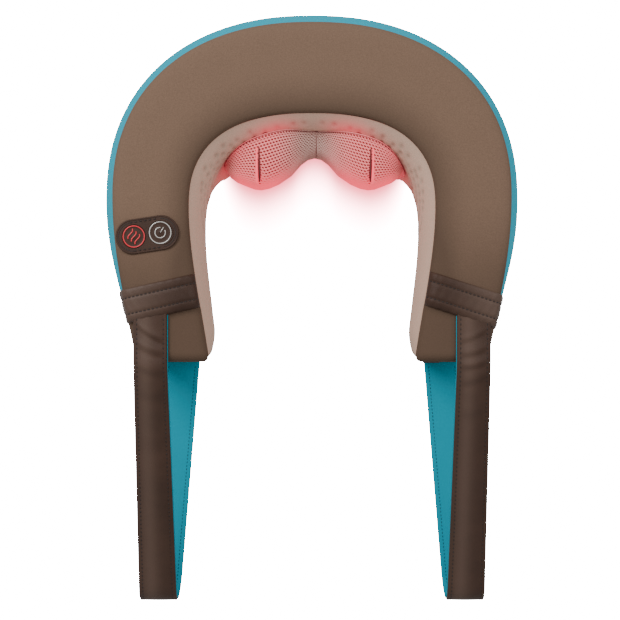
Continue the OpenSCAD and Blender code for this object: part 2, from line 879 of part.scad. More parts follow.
// Catmull-Rom points through a route, n to each span.
function spline(a, b, c, d, t) = 0.5 * (2 * b + (c - a) * t + (2 * a - 5 * b + 4 * c - d) * t * t
    + (3 * b - a - 3 * c + d) * t * t * t);
function smooth(p, n) = let (last = len(p) - 1) concat(
    [for (i = [0:last - 1], k = [0:n - 1])
        spline(p[max(i - 1, 0)], p[i], p[i + 1], p[min(i + 2, last)], k / n)], [p[last]]);
function tangent_at(p, i) = let (d = p[min(i + 1, len(p) - 1)] - p[max(i - 1, 0)]) d / norm(d);
function normal_at(p, i) = let (t = tangent_at(p, i)) [-t[1], t[0]];

// Round lead that lies flat at its own height along a route.
module lead(route) {
    sides = 8;
    path = smooth(route, 5);
    n = len(path);
    rings = [for (i = [0:n - 1], k = [0:sides - 1]) let (a = 360 * k / sides, s = normal_at(path, i))
        [path[i][0] + lead_r * cos(a) * s[0], path[i][1] + lead_r * cos(a) * s[1],
            lead_z + lead_r * sin(a)]];
    skin_faces = [for (i = [0:n - 2], k = [0:sides - 1]) let (m = (k + 1) % sides)
        [i * sides + k, i * sides + m, (i + 1) * sides + m, (i + 1) * sides + k]];
    ends = [[for (k = [sides - 1:-1:0]) k], [for (k = [0:sides - 1]) (n - 1) * sides + k]];
    color(BLACK) polyhedron(rings, concat(skin_faces, ends));
}

// ---------- nodes ----------

cover_top();
cover_bottom();
outer_gusset();
inner_panel();
node_cover();
foam_back();
foam_leg(LEFT);  // foam_leg_left
foam_leg(RIGHT);  // foam_leg_right
leg_end_cover(LEFT);  // leg_end_cover_left
leg_end_cover(RIGHT);  // leg_end_cover_right
cuff(LEFT);  // cuff_left
cuff(RIGHT);  // cuff_right
strap_tab(LEFT);  // strap_tab_left
strap_tab(RIGHT);  // strap_tab_right
strap_flex(LEFT);  // strap_flex_left
strap_flex(RIGHT);  // strap_flex_right
strap_loop(LEFT);  // strap_loop_left
strap_loop(RIGHT);  // strap_loop_right
strap_lining(LEFT);  // strap_lining_left
strap_lining(RIGHT);  // strap_lining_right
control_patch();
color(LEATHER) button(1);  // power_button
color(LEATHER) button(-1);  // heat_button
control_housing();
control_board();
tact_switches();
gearbox_front();
gearbox_rear();
mounting_plate();
gearbox_screws();
front_bushes();
rear_bushes();
output_shaft(LEFT);  // output_shaft_left
output_shaft(RIGHT);  // output_shaft_right
worm_wheel(LEFT);  // worm_wheel_left
worm_wheel(RIGHT);  // worm_wheel_right
head_arm(LEFT);  // head_arm_left
head_arm(RIGHT);  // head_arm_right
head_screw(LEFT);  // head_screw_left
head_screw(RIGHT);  // head_screw_right
roller_pins(LEFT);  // roller_pins_left
roller_pins(RIGHT);  // roller_pins_right
roller(LEFT, 1);  // roller_left_upper
roller(LEFT, -1);  // roller_left_lower
roller(RIGHT, 1);  // roller_right_upper
roller(RIGHT, -1);  // roller_right_lower
motor_can();
motor_magnets();
rotor_bushes();
rotor_shaft();
armature();
worm(LEFT);  // worm_left
worm(RIGHT);  // worm_right
led_boards();
heat_leds();
dc_jack();
jack_pin();
lead(POWER_ROUTE);  // lead_power
lead(CONTROL_ROUTE);  // lead_control
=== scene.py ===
import json
import math

import bmesh
import bpy
import numpy as np
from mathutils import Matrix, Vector


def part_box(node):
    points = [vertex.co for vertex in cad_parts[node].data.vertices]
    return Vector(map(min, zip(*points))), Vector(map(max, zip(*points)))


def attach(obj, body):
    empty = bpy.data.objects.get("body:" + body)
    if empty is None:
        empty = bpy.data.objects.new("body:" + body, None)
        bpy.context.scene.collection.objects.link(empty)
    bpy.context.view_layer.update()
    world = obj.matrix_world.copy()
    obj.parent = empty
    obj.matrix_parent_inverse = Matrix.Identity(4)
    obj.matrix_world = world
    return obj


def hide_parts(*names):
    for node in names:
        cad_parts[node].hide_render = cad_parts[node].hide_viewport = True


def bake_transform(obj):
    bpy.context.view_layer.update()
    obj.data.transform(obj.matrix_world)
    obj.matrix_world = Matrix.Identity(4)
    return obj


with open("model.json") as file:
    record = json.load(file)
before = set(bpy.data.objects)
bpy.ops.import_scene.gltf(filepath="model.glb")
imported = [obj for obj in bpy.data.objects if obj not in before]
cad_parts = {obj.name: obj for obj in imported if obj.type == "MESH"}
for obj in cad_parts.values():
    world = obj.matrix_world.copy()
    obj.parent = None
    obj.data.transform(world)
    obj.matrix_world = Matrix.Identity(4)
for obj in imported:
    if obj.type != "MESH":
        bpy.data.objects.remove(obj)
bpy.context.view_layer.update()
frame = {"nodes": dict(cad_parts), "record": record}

# Lengths are in millimetres up to the point where a mesh is made.
MM = 0.001
RNG = np.random.default_rng(11)


def box_mm(node):
    low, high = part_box(node)
    return np.array(low) / MM, np.array(high) / MM


# ---------- sizes from the frame ----------

HALF_W, BACK_Y = box_mm("outer_gusset")[1][:2]
TOP = box_mm("cover_top")[1][2]
MID = TOP / 2
END_Y = box_mm("leg_end_cover_left")[0][1]
SKIN = box_mm("cover_bottom")[1][2]
ARCH_Y = box_mm("inner_panel")[1][1] - SKIN
END_DROP = box_mm("leg_end_cover_left")[0][2]
OPENING = HALF_W - 86
ARCH_CENTRE = 98
END_OUTER = 153.5
END_INNER = 83.5
SEAM_IN = 7
CUFF_HALF = 14
CUFF_RIB = 0.8
CUFF_ROWS = (-6.9, 6.4)
CUFFS = {-1: ((-126, 12.5), 12.5), 1: ((126, 11.5), -18)}
SIDES = {-1: "left", 1: "right"}
POD_HALF_X = 78
POD_HALF_Z = 36
POD_ARC = 95
DIMPLE_REACH = 41
DART_X = 48.0
DART_DEPTH = 3.6
POD_SEAM_X = 3.7
POD_SHIFT = 2.5
OUTER_FULLNESS = 1.7
INNER_FULLNESS = 3.2
END_TAPER = 27
END_TUCK = 7.5

# ---------- outlines of the collar, from the middle of the back to a leg's end ----------


def run_length(path):
    """Distance along a path at each of its points."""
    return np.concatenate([[0], np.cumsum(np.linalg.norm(np.diff(path, axis=0), axis=1))])


def superellipse_run(a, b, yc, n, leg):
    t = np.linspace(np.pi / 2, 0, 240)
    arch = np.stack([a * np.cos(t).clip(0) ** (2 / n), yc + b * np.sin(t).clip(0) ** (2 / n)], 1)
    p = np.array([(a, yc), *leg], float)
    s = np.linspace(0, 1, 120)[1:, None]
    curve = (1 - s) ** 3 * p[0] + 3 * s * (1 - s) ** 2 * p[1] + 3 * s * s * (1 - s) * p[2] + s ** 3 * p[3]
    run = np.concatenate([arch, curve])
    dist = run_length(run)
    return dist / dist[-1], run


OUTER_MID = superellipse_run(HALF_W, BACK_Y - ARCH_CENTRE, ARCH_CENTRE, 2.25,
                             [(HALF_W, 45), (HALF_W - 17.5, 15), (END_OUTER, END_Y)])
OUTER_TOP = superellipse_run(HALF_W - 12.4, BACK_Y - 15.4 - ARCH_CENTRE, ARCH_CENTRE, 2.25,
                             [(HALF_W - 12.4, 50), (158, 14), (END_OUTER - 7, END_Y)])
INNER_TOP = superellipse_run(OPENING + 9.5, 80, ARCH_Y - 66, 2.5,
                             [(OPENING + 9.2, 50), (OPENING, 10), (END_INNER + 2.8, END_Y)])
INNER_MID = superellipse_run(OPENING, 84, ARCH_Y - 84, 2.5,
                             [(OPENING, 40), (OPENING - 6, 10), (END_INNER, END_Y)])


def along(run, u):
    """Plan point at u, from -1 at the left leg's end through 0 at the back to 1 at the right one's."""
    part, points = run
    x = np.interp(np.abs(u), part, points[:, 0]) * np.sign(u)
    return np.stack([x, np.interp(np.abs(u), part, points[:, 1])], -1)


def cuff_distance(xy):
    """Distance from the middle of the near cuff, positive on the collar's side of it."""
    out = np.zeros(xy.shape[:-1])
    for side, (centre, tilt) in CUFFS.items():
        a = math.radians(tilt)
        d = (xy - np.array(centre)) @ np.array([-math.sin(a), math.cos(a)])
        out = np.where(np.sign(xy[..., 0]) == side, d, out)
    return out


def smooth_step(x):
    x = np.clip(x, 0, 1)
    return x * x * (3 - 2 * x)


def swell(x, z):
    """How far the covered heads draw the inner wall towards the neck: under each end of the pouch,
    and a little above its upper seam."""
    below = np.exp(-((np.abs(x) - 72) / 13) ** 2)
    below = below * smooth_step((z - 7) / 22) * (1 - smooth_step((z - 34) / 24))
    above = np.exp(-((np.abs(x) - 42) / 22) ** 2) * np.exp(-((z - 86) / 12) ** 2)
    return 12 * below + 4 * above


def body(u, v):
    """Point of the padded surface. v runs 0-1 up the outer side, 1-2 over the top panel to the neck,
    2-3 down the inner wall and 3-4 back along the bottom panel."""
    om, ot, it, im = (along(run, u) for run in (OUTER_MID, OUTER_TOP, INNER_TOP, INNER_MID))
    part = np.floor(np.clip(v, 0, 3.9999)).astype(int)
    f = v - part
    rise = np.where(part == 0, 2 * f - 1, np.where(part == 2, 1 - 2 * f, 0))
    outer = ot + (om - ot) * (1 - np.abs(rise) ** OUTER_FULLNESS)[..., None]
    bulge = 1 - np.abs(rise) ** INNER_FULLNESS
    inner = it + (im - it) * bulge[..., None]
    end = ((END_Y + END_TAPER - im[..., 1]) / END_TAPER).clip(0, 1) ** 1.6
    tuck = np.sign(u) * END_TUCK * end
    inner[..., 0] += tuck * (1 - rise.clip(0) ** 2)
    height = MID + (MID - SEAM_IN) * rise
    inner[..., 1] -= swell(inner[..., 0], height) * smooth_step((inner[..., 1] - 85) / 20)
    across = (3 * f * f - 2 * f ** 3) * 0.35 + f * 0.65
    edge = it + np.stack([tuck, 0 * tuck], -1)
    top, low = ot + (it - ot) * across[..., None], edge + (ot - edge) * across[..., None]
    p = part[..., None]
    xy = np.where(p == 0, outer, np.where(p == 1, top, np.where(p == 2, inner, low)))
    s = np.abs(2 * f - 1)
    crown = SEAM_IN * (1 - s ** 3.6) ** 0.5
    flat = SEAM_IN * (1 - s ** 9) ** 0.5
    z = np.where(part == 1, TOP - SEAM_IN + crown, np.where(part == 3, SEAM_IN - flat, height))
    drop = END_DROP * smooth_step((-CUFF_HALF / 2 - cuff_distance(xy)) / 12)
    z = MID + (z - MID) * (1 - drop / MID)
    return np.concatenate([xy, z[..., None]], -1)


def body_normal(u, v, h=1e-3):
    du = body(np.clip(u + h, -1, 1), v) - body(np.clip(u - h, -1, 1), v)
    dv = body(u, v + h) - body(u, v - h)
    n = np.cross(dv, du)
    return n / np.linalg.norm(n, axis=-1, keepdims=True).clip(1e-9)


def at_cuff(v, d, side):
    """u on one leg at which the surface's line v is at distance d from the cuff's middle."""
    u = np.linspace(0.45, 1, 400)
    dist = cuff_distance(body(side * u, np.full_like(u, v))[:, :2])
    return side * np.interp(-d, -dist, u)


# ---------- mesh helpers ----------


def new_object(name, verts, faces, material, slot, body_name="root", uv=None):
    mesh = bpy.data.meshes.new(name)
    mesh.from_pydata((np.asarray(verts) * MM).tolist(), [], [list(map(int, f)) for f in faces])
    mesh.validate()
    mesh.update()
    mesh.polygons.foreach_set("use_smooth", [True] * len(mesh.polygons))
    if uv is not None:
        layer = mesh.uv_layers.new(name="UVMap")
        index = np.empty(len(mesh.loops), int)
        mesh.loops.foreach_get("vertex_index", index)
        layer.data.foreach_set("uv", np.asarray(uv)[index].astype(np.float32).ravel())
    mesh.materials.append(material)
    obj = bpy.data.objects.new(name, mesh)
    bpy.context.scene.collection.objects.link(obj)
    if body_name:
        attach(obj, body_name)
    return obj


def grid_faces(n, m, close_v=False):
    i, j = np.meshgrid(np.arange(n - 1), np.arange(m if close_v else m - 1), indexing="ij")
    k = (j + 1) % m
    return np.stack([i * m + j, i * m + k, (i + 1) * m + k, (i + 1) * m + j], -1).reshape(-1, 4)


def closed_faces(n, m):
    """Faces of a tube of n rings of m points, with both ends closed."""
    return grid_faces(n, m, True).tolist() + [list(range(m))[::-1], list(range((n - 1) * m, n * m))]


def grid_uv(p):
    """Running lengths along both directions of a grid, in metres."""
    down, across = (np.linalg.norm(np.diff(p, axis=k), axis=-1) for k in (0, 1))
    a = np.concatenate([np.zeros((1, p.shape[1])), np.cumsum(down, 0)])
    b = np.concatenate([np.zeros((p.shape[0], 1)), np.cumsum(across, 1)], 1)
    return np.stack([a, b], -1).reshape(-1, 2) * MM


def set_painted_light(obj, tone, name="tone"):
    """Stores one number per vertex for the material to read: painted light and shade, or painted lamp glow.
    """
    layer = obj.data.attributes.new(name, "FLOAT", "POINT")
    layer.data.foreach_set("value", np.asarray(tone, np.float32).ravel())


def frames(path):
    t = np.gradient(path, axis=0)
    return t / np.linalg.norm(t, axis=1, keepdims=True).clip(1e-9)


def tube_mesh(path, radius, sides=8, closed=False):
    path = np.asarray(path, float)
    t = frames(np.concatenate([path[-1:], path, path[:1]]))[1:-1] if closed else frames(path)
    ref = np.tile([0, 0, 1.0], (len(t), 1))
    ref[np.abs(t[:, 2]) > 0.95] = [1, 0, 0]
    a = np.cross(t, ref)
    a /= np.linalg.norm(a, axis=1, keepdims=True)
    b = np.cross(a, t)
    ang = np.linspace(0, 2 * np.pi, sides, endpoint=False)
    r = np.broadcast_to(radius, (len(path),))[:, None, None]
    across = np.cos(ang)[None, :, None] * a[:, None] + np.sin(ang)[None, :, None] * b[:, None]
    ring = path[:, None] + r * across
    faces = grid_faces(len(path), sides, True).tolist()
    n = len(path) * sides
    if closed:
        faces += [[n - sides + j, n - sides + (j + 1) % sides, (j + 1) % sides, j] for j in range(sides)]
    else:
        faces += [list(range(sides))[::-1], list(range(n - sides, n))]
    return ring.reshape(-1, 3), faces


def join(parts):
    verts, faces, start = [], [], 0
    for v, f in parts:
        verts.append(v)
        faces += [[k + start for k in face] for face in f]
        start += len(v)
    return np.concatenate(verts), faces


def resample(path, step):
    path = np.asarray(path, float)
    dist = run_length(path)
    s = np.arange(0, dist[-1], step)
    return np.stack([np.interp(s, dist, path[:, k]) for k in range(3)], 1)


def stitch_mesh(path, normal, length=2.6, gap=1.5, radius=0.34, sink=0.1):
    """Thread stitches, each a short bead that dips into the cloth at both ends."""
    parts = []
    fine = resample(path, 0.25)
    lengths = np.linalg.norm(np.asarray(path)[:, None] - fine[None], axis=2).argmin(0)
    up = np.asarray(normal)[lengths]
    n, k = int(length / 0.25), int((length + gap) / 0.25)
    for s in range(0, len(fine) - n, k):
        seg = fine[s:s + n + 1][::max(1, n // 5)]
        w = np.sin(np.linspace(0, np.pi, len(seg)))
        bead = seg + up[s:s + n + 1][::max(1, n // 5)] * (radius * (w * 1.2 - 0.3) - sink)[:, None]
        parts.append(tube_mesh(bead, radius * (0.55 + 0.45 * w), 6))
    return join(parts)


# ---------- materials ----------


class Nodes:
    """A material's node tree, with short calls for the nodes that repeat."""

    def __init__(self, name):
        self.material = bpy.data.materials.new(name)
        self.material.use_nodes = True
        self.tree = self.material.node_tree
        self.shader = self.tree.nodes["Principled BSDF"]
        self.place = self.tree.nodes.new("ShaderNodeTexCoord").outputs["Object"]

    def new(self, kind, **values):
        node = self.tree.nodes.new(kind)
        for key, value in values.items():
            if key in node.inputs:
                if hasattr(value, "links"):
                    self.tree.links.new(value, node.inputs[key])
                else:
                    node.inputs[key].default_value = value
            else:
                setattr(node, key, value)
        return node

    def link(self, a, b):
        self.tree.links.new(a, b)

    def noise(self, scale, detail=3.0, rough=0.55, vector=None):
        return self.new("ShaderNodeTexNoise", Scale=scale, Detail=detail, Roughness=rough,
                        Vector=vector or self.place).outputs["Fac"]

    def math(self, operation, a, b=0.5):
        node = self.new("ShaderNodeMath", operation=operation)
        for k, value in enumerate((a, b)):
            if hasattr(value, "links"):
                self.link(value, node.inputs[k])
            else:
                node.inputs[k].default_value = value
        return node.outputs[0]

    def ramp(self, fac, low, high, start=0.3, end=0.7):
        node = self.new("ShaderNodeValToRGB", Fac=fac)
        node.color_ramp.elements[0].position, node.color_ramp.elements[1].position = start, end
        node.color_ramp.elements[0].color = (*low, 1)
        node.color_ramp.elements[1].color = (*high, 1)
        return node.outputs["Color"]

    def mix(self, fac, a, b):
        node = self.new("ShaderNodeMix", data_type="RGBA")
        for key, value in ((0, fac), (6, a), (7, b)):
            if hasattr(value, "links"):
                self.link(value, node.inputs[key])
            else:
                node.inputs[key].default_value = value if key == 0 else (*value, 1)
        return node.outputs[2]

    def attribute(self, name):
        return self.new("ShaderNodeAttribute", attribute_name=name).outputs["Fac"]

    def finish(self, color, rough, height=None, bump=0.3, distance=0.0004, **shader):
        self.link(color, self.shader.inputs["Base Color"])
        if hasattr(rough, "links"):
            self.link(rough, self.shader.inputs["Roughness"])
        else:
            self.shader.inputs["Roughness"].default_value = rough
        if height is not None:
            node = self.new("ShaderNodeBump", Height=height, Strength=bump, Distance=distance)
            self.link(node.outputs["Normal"], self.shader.inputs["Normal"])
        for key, value in shader.items():
            self.shader.inputs[key.replace("_", " ")].default_value = value
        return self.material


def scaled(color, k):
    return tuple(min(1.0, c * k) for c in color)


def brushed_fabric(name, color, sheen=0.12, grain=900, with_painted_shade=False, contrast=0.14):
    """Short-napped knit: fine nap, soft mottling and, where asked, painted light and shade: a lighter crown
    and darker seams.
    """
    n = Nodes(name)
    nap, cloud = n.noise(grain, 4, 0.7), n.noise(45, 3)
    base = n.ramp(nap, scaled(color, 1 - contrast), scaled(color, 1 + contrast), 0.32, 0.68)
    base = n.mix(n.math("MULTIPLY", cloud, 0.35), base, scaled(color, 0.86))
    # painted shade: towards a darker copy of the colour where the vertex light number is low
    if with_painted_shade:
        base = n.mix(n.attribute("tone"), n.mix(0.7, base, scaled(color, 0.36)), base)
    height = n.math("ADD", nap, n.math("MULTIPLY", n.noise(grain * 2.6, 2), 0.5))
    rough = n.math("ADD", n.math("MULTIPLY", nap, 0.12), 0.84)
    return n.finish(base, rough, height, 0.35, 0.0005, Sheen_Weight=sheen, Sheen_Roughness=0.45,
                    Sheen_Tint=(*scaled(color, 2.2), 1), Specular_IOR_Level=0.1)


def woven_fabric(name, color, thread=0.0009):
    """Plain weave from two crossed waves on the piece's own UV lengths."""
    n = Nodes(name)
    uv = n.new("ShaderNodeTexCoord").outputs["UV"]
    warp = n.new("ShaderNodeTexWave", Scale=0.31 / thread, Vector=uv, bands_direction="X").outputs["Fac"]
    weft = n.new("ShaderNodeTexWave", Scale=0.31 / thread, Vector=uv, bands_direction="Y").outputs["Fac"]
    weave = n.math("ADD", n.math("MULTIPLY", warp, 0.5), n.math("MULTIPLY", weft, 0.5))
    base = n.ramp(weave, scaled(color, 0.80), scaled(color, 1.12), 0.2, 0.85)
    base = n.mix(n.math("MULTIPLY", n.noise(60), 0.3), base, scaled(color, 0.82))
    return n.finish(base, n.math("ADD", n.math("MULTIPLY", weave, 0.15), 0.5), weave, 0.25, 0.0003,
                    Specular_IOR_Level=0.05)


def leatherette(name, color, grain=700, rough=0.5):
    """Coated cloth: pebbled cells, fine pores, and a painted highlight, paler where the vertex light number
    is high.
    """
    n = Nodes(name)
    cells = n.new("ShaderNodeTexVoronoi", Scale=grain, Vector=n.place,
                  feature="DISTANCE_TO_EDGE").outputs["Distance"]
    pores, cloud = n.noise(1800, 3), n.noise(35, 4)
    base = n.ramp(cloud, scaled(color, 0.82), scaled(color, 1.22), 0.3, 0.72)
    base = n.mix(n.math("MULTIPLY", pores, 0.25), base, scaled(color, 0.7))
    # painted highlight: towards a paler brown where the vertex light number is high
    base = n.mix(n.attribute("tone"), base, (0.125, 0.082, 0.063))
    pebble = n.math("MINIMUM", n.math("MULTIPLY", cells, 6), 1.0)
    height = n.math("ADD", n.math("MULTIPLY", pebble, 0.8), pores)
    shine = n.math("ADD", n.math("MULTIPLY", cloud, 0.16), rough - 0.06)
    return n.finish(base, shine, height, 0.22, 0.00035, Specular_IOR_Level=0.2)


def moulded(name, color, rough=0.45, **shader):
    n = Nodes(name)
    spark, cloud = n.noise(1500, 2), n.noise(30, 3)
    base = n.ramp(cloud, scaled(color, 0.9), scaled(color, 1.08))
    dull = n.math("ADD", n.math("MULTIPLY", cloud, 0.14), rough - 0.07)
    return n.finish(base, dull, spark, 0.12, 0.0002, **shader)


def metal(name, color, rough=0.3, lines=(400, 40, 400)):
    """Turned or rolled metal, with fine drawn lines and faint smudges."""
    n = Nodes(name)
    stretch = n.new("ShaderNodeMapping", Vector=n.place, Scale=lines).outputs["Vector"]
    drawn, smudge = n.noise(8, 4, 0.6, stretch), n.noise(60, 3)
    base = n.ramp(drawn, scaled(color, 0.86), scaled(color, 1.1))
    dull = n.math("ADD", n.math("MULTIPLY", smudge, 0.2), rough - 0.1)
    return n.finish(base, dull, drawn, 0.12, 0.0002, Metallic=1.0)


def foam_material(name, color):
    n = Nodes(name)
    cells = n.new("ShaderNodeTexVoronoi", Scale=900.0, Vector=n.place).outputs["Distance"]
    base = n.ramp(cells, scaled(color, 0.72), color, 0.05, 0.6)
    return n.finish(base, 0.95, cells, 0.6, 0.0008)


def glowing_cloth(name, color, glow, strength, with_painted_shade=False):
    """Cloth lit from behind by the lamps, by the piece's own glow numbers."""
    n = Nodes(name)
    g = n.attribute("glow")
    nap = n.noise(1100, 3)
    base = n.ramp(nap, scaled(color, 0.88), scaled(color, 1.08))
    # painted shade: towards a darker copy of the colour where the vertex light number is low
    if with_painted_shade:
        base = n.mix(n.attribute("tone"), n.mix(0.45, base, scaled(color, 0.40)), base)
    base = n.mix(g, base, scaled(glow, 0.75))
    n.link(n.mix(g, (0, 0, 0), glow), n.shader.inputs["Emission Color"])
    n.shader.inputs["Emission Strength"].default_value = strength
    return n.finish(base, 0.85, nap, 0.3, 0.0004, Specular_IOR_Level=0.12)


BROWN = (0.155, 0.098, 0.068)
TAUPE = (0.460, 0.315, 0.240)
TEAL = (0.0, 0.270, 0.370)
LEATHER = (0.042, 0.021, 0.014)

BROWN_FABRIC = brushed_fabric("brown_velour", BROWN, with_painted_shade=True)
TAUPE_FABRIC = brushed_fabric("taupe_knit", TAUPE, sheen=0.25, grain=1100, with_painted_shade=True, contrast=0.10)
TEAL_FABRIC = woven_fabric("teal_weave", TEAL)
# painted light: the lining's teal made 1.3 times brighter for the side gusset, which is the same cloth
LIT_TEAL_GUSSET_FABRIC = woven_fabric("teal_gusset_painted_light", scaled(TEAL, 1.3))
LEATHER_MAT = leatherette("dark_leatherette", LEATHER)
THREAD = moulded("dark_thread", (0.018, 0.010, 0.008), 0.7)
RED_INK = moulded("red_marking", (0.62, 0.03, 0.04), 0.35)
SILVER_INK = moulded("silver_marking", (0.52, 0.50, 0.47), 0.3, Metallic=0.4)
MESH_CLOTH = glowing_cloth("air_mesh", (0.50, 0.37, 0.31), (1.0, 0.055, 0.10), 1.7)
MESH_LINER = glowing_cloth("pouch_liner", (0.13, 0.05, 0.04), (0.50, 0.02, 0.030), 0.16)
WALL_KNIT = glowing_cloth("wall_knit", scaled(TAUPE, 1.22), (0.9, 0.07, 0.10), 0.9, with_painted_shade=True)
# painted shadow: dark red cloth laid in the darts and along the pouch's seams
SEAM_SHADOW_MAT = brushed_fabric("dart_shadow", (0.16, 0.035, 0.035))
FOAM = foam_material("open_foam", (0.80, 0.74, 0.58))


# ---------- collar panels ----------


def panel(v0, v1, rows, reach, n_u=260):
    """One sewn panel between two seams, running from cuff to cuff or leg end to leg end."""
    w = np.linspace(0, 1, rows)
    v = v0 + (v1 - v0) * (0.5 - 0.5 * np.cos(np.pi * w))
    v = np.clip(v, v0 + 1e-4, v1 - 1e-4)
    k = np.linspace(0, 1, n_u)
    grid = np.empty((n_u, rows, 3))
    normal = np.empty_like(grid)
    for j, vj in enumerate(v):
        if reach is None:
            lo, hi = -1.0, 1.0
        else:
            lo, hi = at_cuff(vj, reach, -1), at_cuff(vj, reach, 1)
        u = lo + (hi - lo) * k
        grid[:, j] = body(u, np.full_like(u, vj))
        normal[:, j] = body_normal(u, np.full_like(u, np.clip(vj, v0 + 0.01, v1 - 0.01)))
    return grid, normal, v


def add_panel(name, grid, material, slot, nodes, tone=None, tuck=2.2):
    """Adds a panel with its two long edges turned in under the seam, so that the seam is a crease; the
    turned-in edges get no painted light, so they take the full painted shade.
    """
    turned = [e + tuck * unit(centre_of(e) - e) for e in (grid[:, :1], grid[:, -1:])]
    full = np.concatenate([turned[0], grid, turned[1]], axis=1)
    n, m, _ = full.shape
    obj = new_object(name, full.reshape(-1, 3), grid_faces(n, m), material, slot, uv=grid_uv(full))
    if tone is not None:
        set_painted_light(obj, np.concatenate([tone[:, :1] * 0, tone, tone[:, -1:] * 0], axis=1))
    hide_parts(*nodes)


def unit(v):
    return v / np.linalg.norm(v, axis=-1, keepdims=True).clip(1e-9)


def centre_of(edge):
    """Point inside the padding beside a seam: half-way between the outer and the inner side."""
    mid = []
    for p in edge.reshape(-1, 3):
        k = np.linalg.norm(CENTRE_LINE[:, :2] - p[:2], axis=1).argmin()
        mid.append(CENTRE_LINE[k])
    return np.array(mid).reshape(edge.shape)


_u = np.linspace(-1, 1, 600)
CENTRE_LINE = np.concatenate([(along(OUTER_MID, _u) + along(INNER_MID, _u)) / 2, np.full((600, 1), MID)], 1)


def cover_panels():
    grid, _, v = panel(1, 2, 44, -3)
    f = v - 1
    # painted shade on the top cover: darker towards the neck seam, in a thin band at the outer seam, and
    # towards the leg ends
    tone = (1 - 0.8 * smooth_step((f - 0.50) / 0.50) - 0.25 * np.exp(-f / 0.03))[None]
    tone = tone - 0.85 * smooth_step((100 - grid[..., 1]) / 95)
    add_panel("top_cover", grid, BROWN_FABRIC, "brown_fabric", ["cover_top"], tone.clip(0, 1))
    grid, _, _ = panel(0, 1, 26, -3)
    add_panel("side_gusset", grid, LIT_TEAL_GUSSET_FABRIC, "teal_fabric", ["outer_gusset"])
    grid, _, _ = panel(3, 4, 40, -3)
    grid[..., 2] = grid[..., 2].clip(0)
    # painted shade on the underside: the bottom cover a little darker all over
    tone = np.full(grid.shape[:2], 0.8)
    add_panel("bottom_cover", grid, BROWN_FABRIC, "brown_fabric", ["cover_bottom"], tone)


def end_round(grid, radius=8.0):
    """Rounds a strip in towards the padding over its last stretch before the leg's end."""
    e = (grid[..., 1] - END_Y).clip(0)
    arc = np.sqrt((radius ** 2 - (radius - e.clip(0, radius)) ** 2).clip(0))
    inset = np.where(e < radius, radius - arc, 0)
    toward = unit((centre_of(grid) - grid) * [1, 0, 1])
    return grid + toward * inset[..., None]


def dimples(grid, normal):
    """Quilting dimples in the wall round the pouch, as small dents."""
    depth = np.zeros(grid.shape[:2])
    row = grid[:, grid.shape[1] // 2, :2]
    run = run_length(row)
    run = (run - run[len(run) // 2])[:, None]
    for ring, count in ((1.10, 58), (1.24, 64), (1.38, 70), (1.52, 74)):
        for k in range(count):
            a = 2 * np.pi * (k + 0.5 * (ring > 1.2)) / count + RNG.normal(0, 0.015)
            x, z = POD_ARC * ring * np.cos(a), MID + POD_HALF_Z * ring * np.sin(a)
            d2 = (run - x) ** 2 + (grid[..., 2] - z) ** 2
            deep = RNG.uniform(0.7, 1.5) * (abs(z - MID) < DIMPLE_REACH)
            depth += deep * np.exp(-d2 / (2 * 1.4 ** 2))
    return grid - normal * depth[..., None], depth


def inner_wall():
    """Taupe wall towards the neck, open behind the pouch, with painted shade, and lit where the lamps spill
    round it.
    """
    grid, normal, v = panel(2, 3, 56, None, n_u=520)
    grid, dents = dimples(end_round(grid), normal)
    rise = (grid[..., 2] - MID) / (POD_HALF_Z * waist(grid[..., 0]))
    pod = (np.abs(grid[..., 0] - POD_SHIFT) / POD_HALF_X) ** 5 + rise ** 2
    pull = 1.2 * np.exp(-((np.sqrt(pod) - 1.0) / 0.12) ** 2) * (grid[..., 1] > 60)
    grid = grid - normal * pull[..., None]
    # painted shade: darker along the pouch's outline, in patches beside the pouch's ends, just under the top
    # seam and in each dimple
    ends = np.exp(-((np.abs(grid[..., 0]) - POD_HALF_X + 1) / 6) ** 2 - ((grid[..., 2] - MID - 4) / 24) ** 2)
    tone = 1 - 0.6 * np.exp(-((np.sqrt(pod) - 1.0) / 0.10) ** 2) - 1.3 * ends * (grid[..., 1] > 90)
    tone = tone * (1 - 0.35 * np.exp(-(v - 2) / 0.02))[None] - 0.9 * dents
    n, m, _ = grid.shape
    faces = grid_faces(n, m)
    inside = (pod.reshape(-1)[faces] < 0.95).all(1) & (grid.reshape(-1, 3)[faces][..., 1] > 60).all(1)
    obj = new_object("inner_wall", grid.reshape(-1, 3), faces[~inside], WALL_KNIT, "taupe_fabric",
                     uv=grid_uv(grid))
    set_painted_light(obj, tone.clip(0, 1))
    spill = np.exp(-((np.abs(grid[..., 0]) - 33) / 20) ** 2) * np.exp(-((grid[..., 2] - 92) / 9) ** 2)
    sides = np.exp(-((np.abs(grid[..., 0]) - 78) / 8) ** 2) * np.exp(-((grid[..., 2] - 46) / 20) ** 2)
    set_painted_light(obj, (0.60 * spill + 0.45 * sides) * (grid[..., 1] > 90), "glow")
    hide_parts("inner_panel")


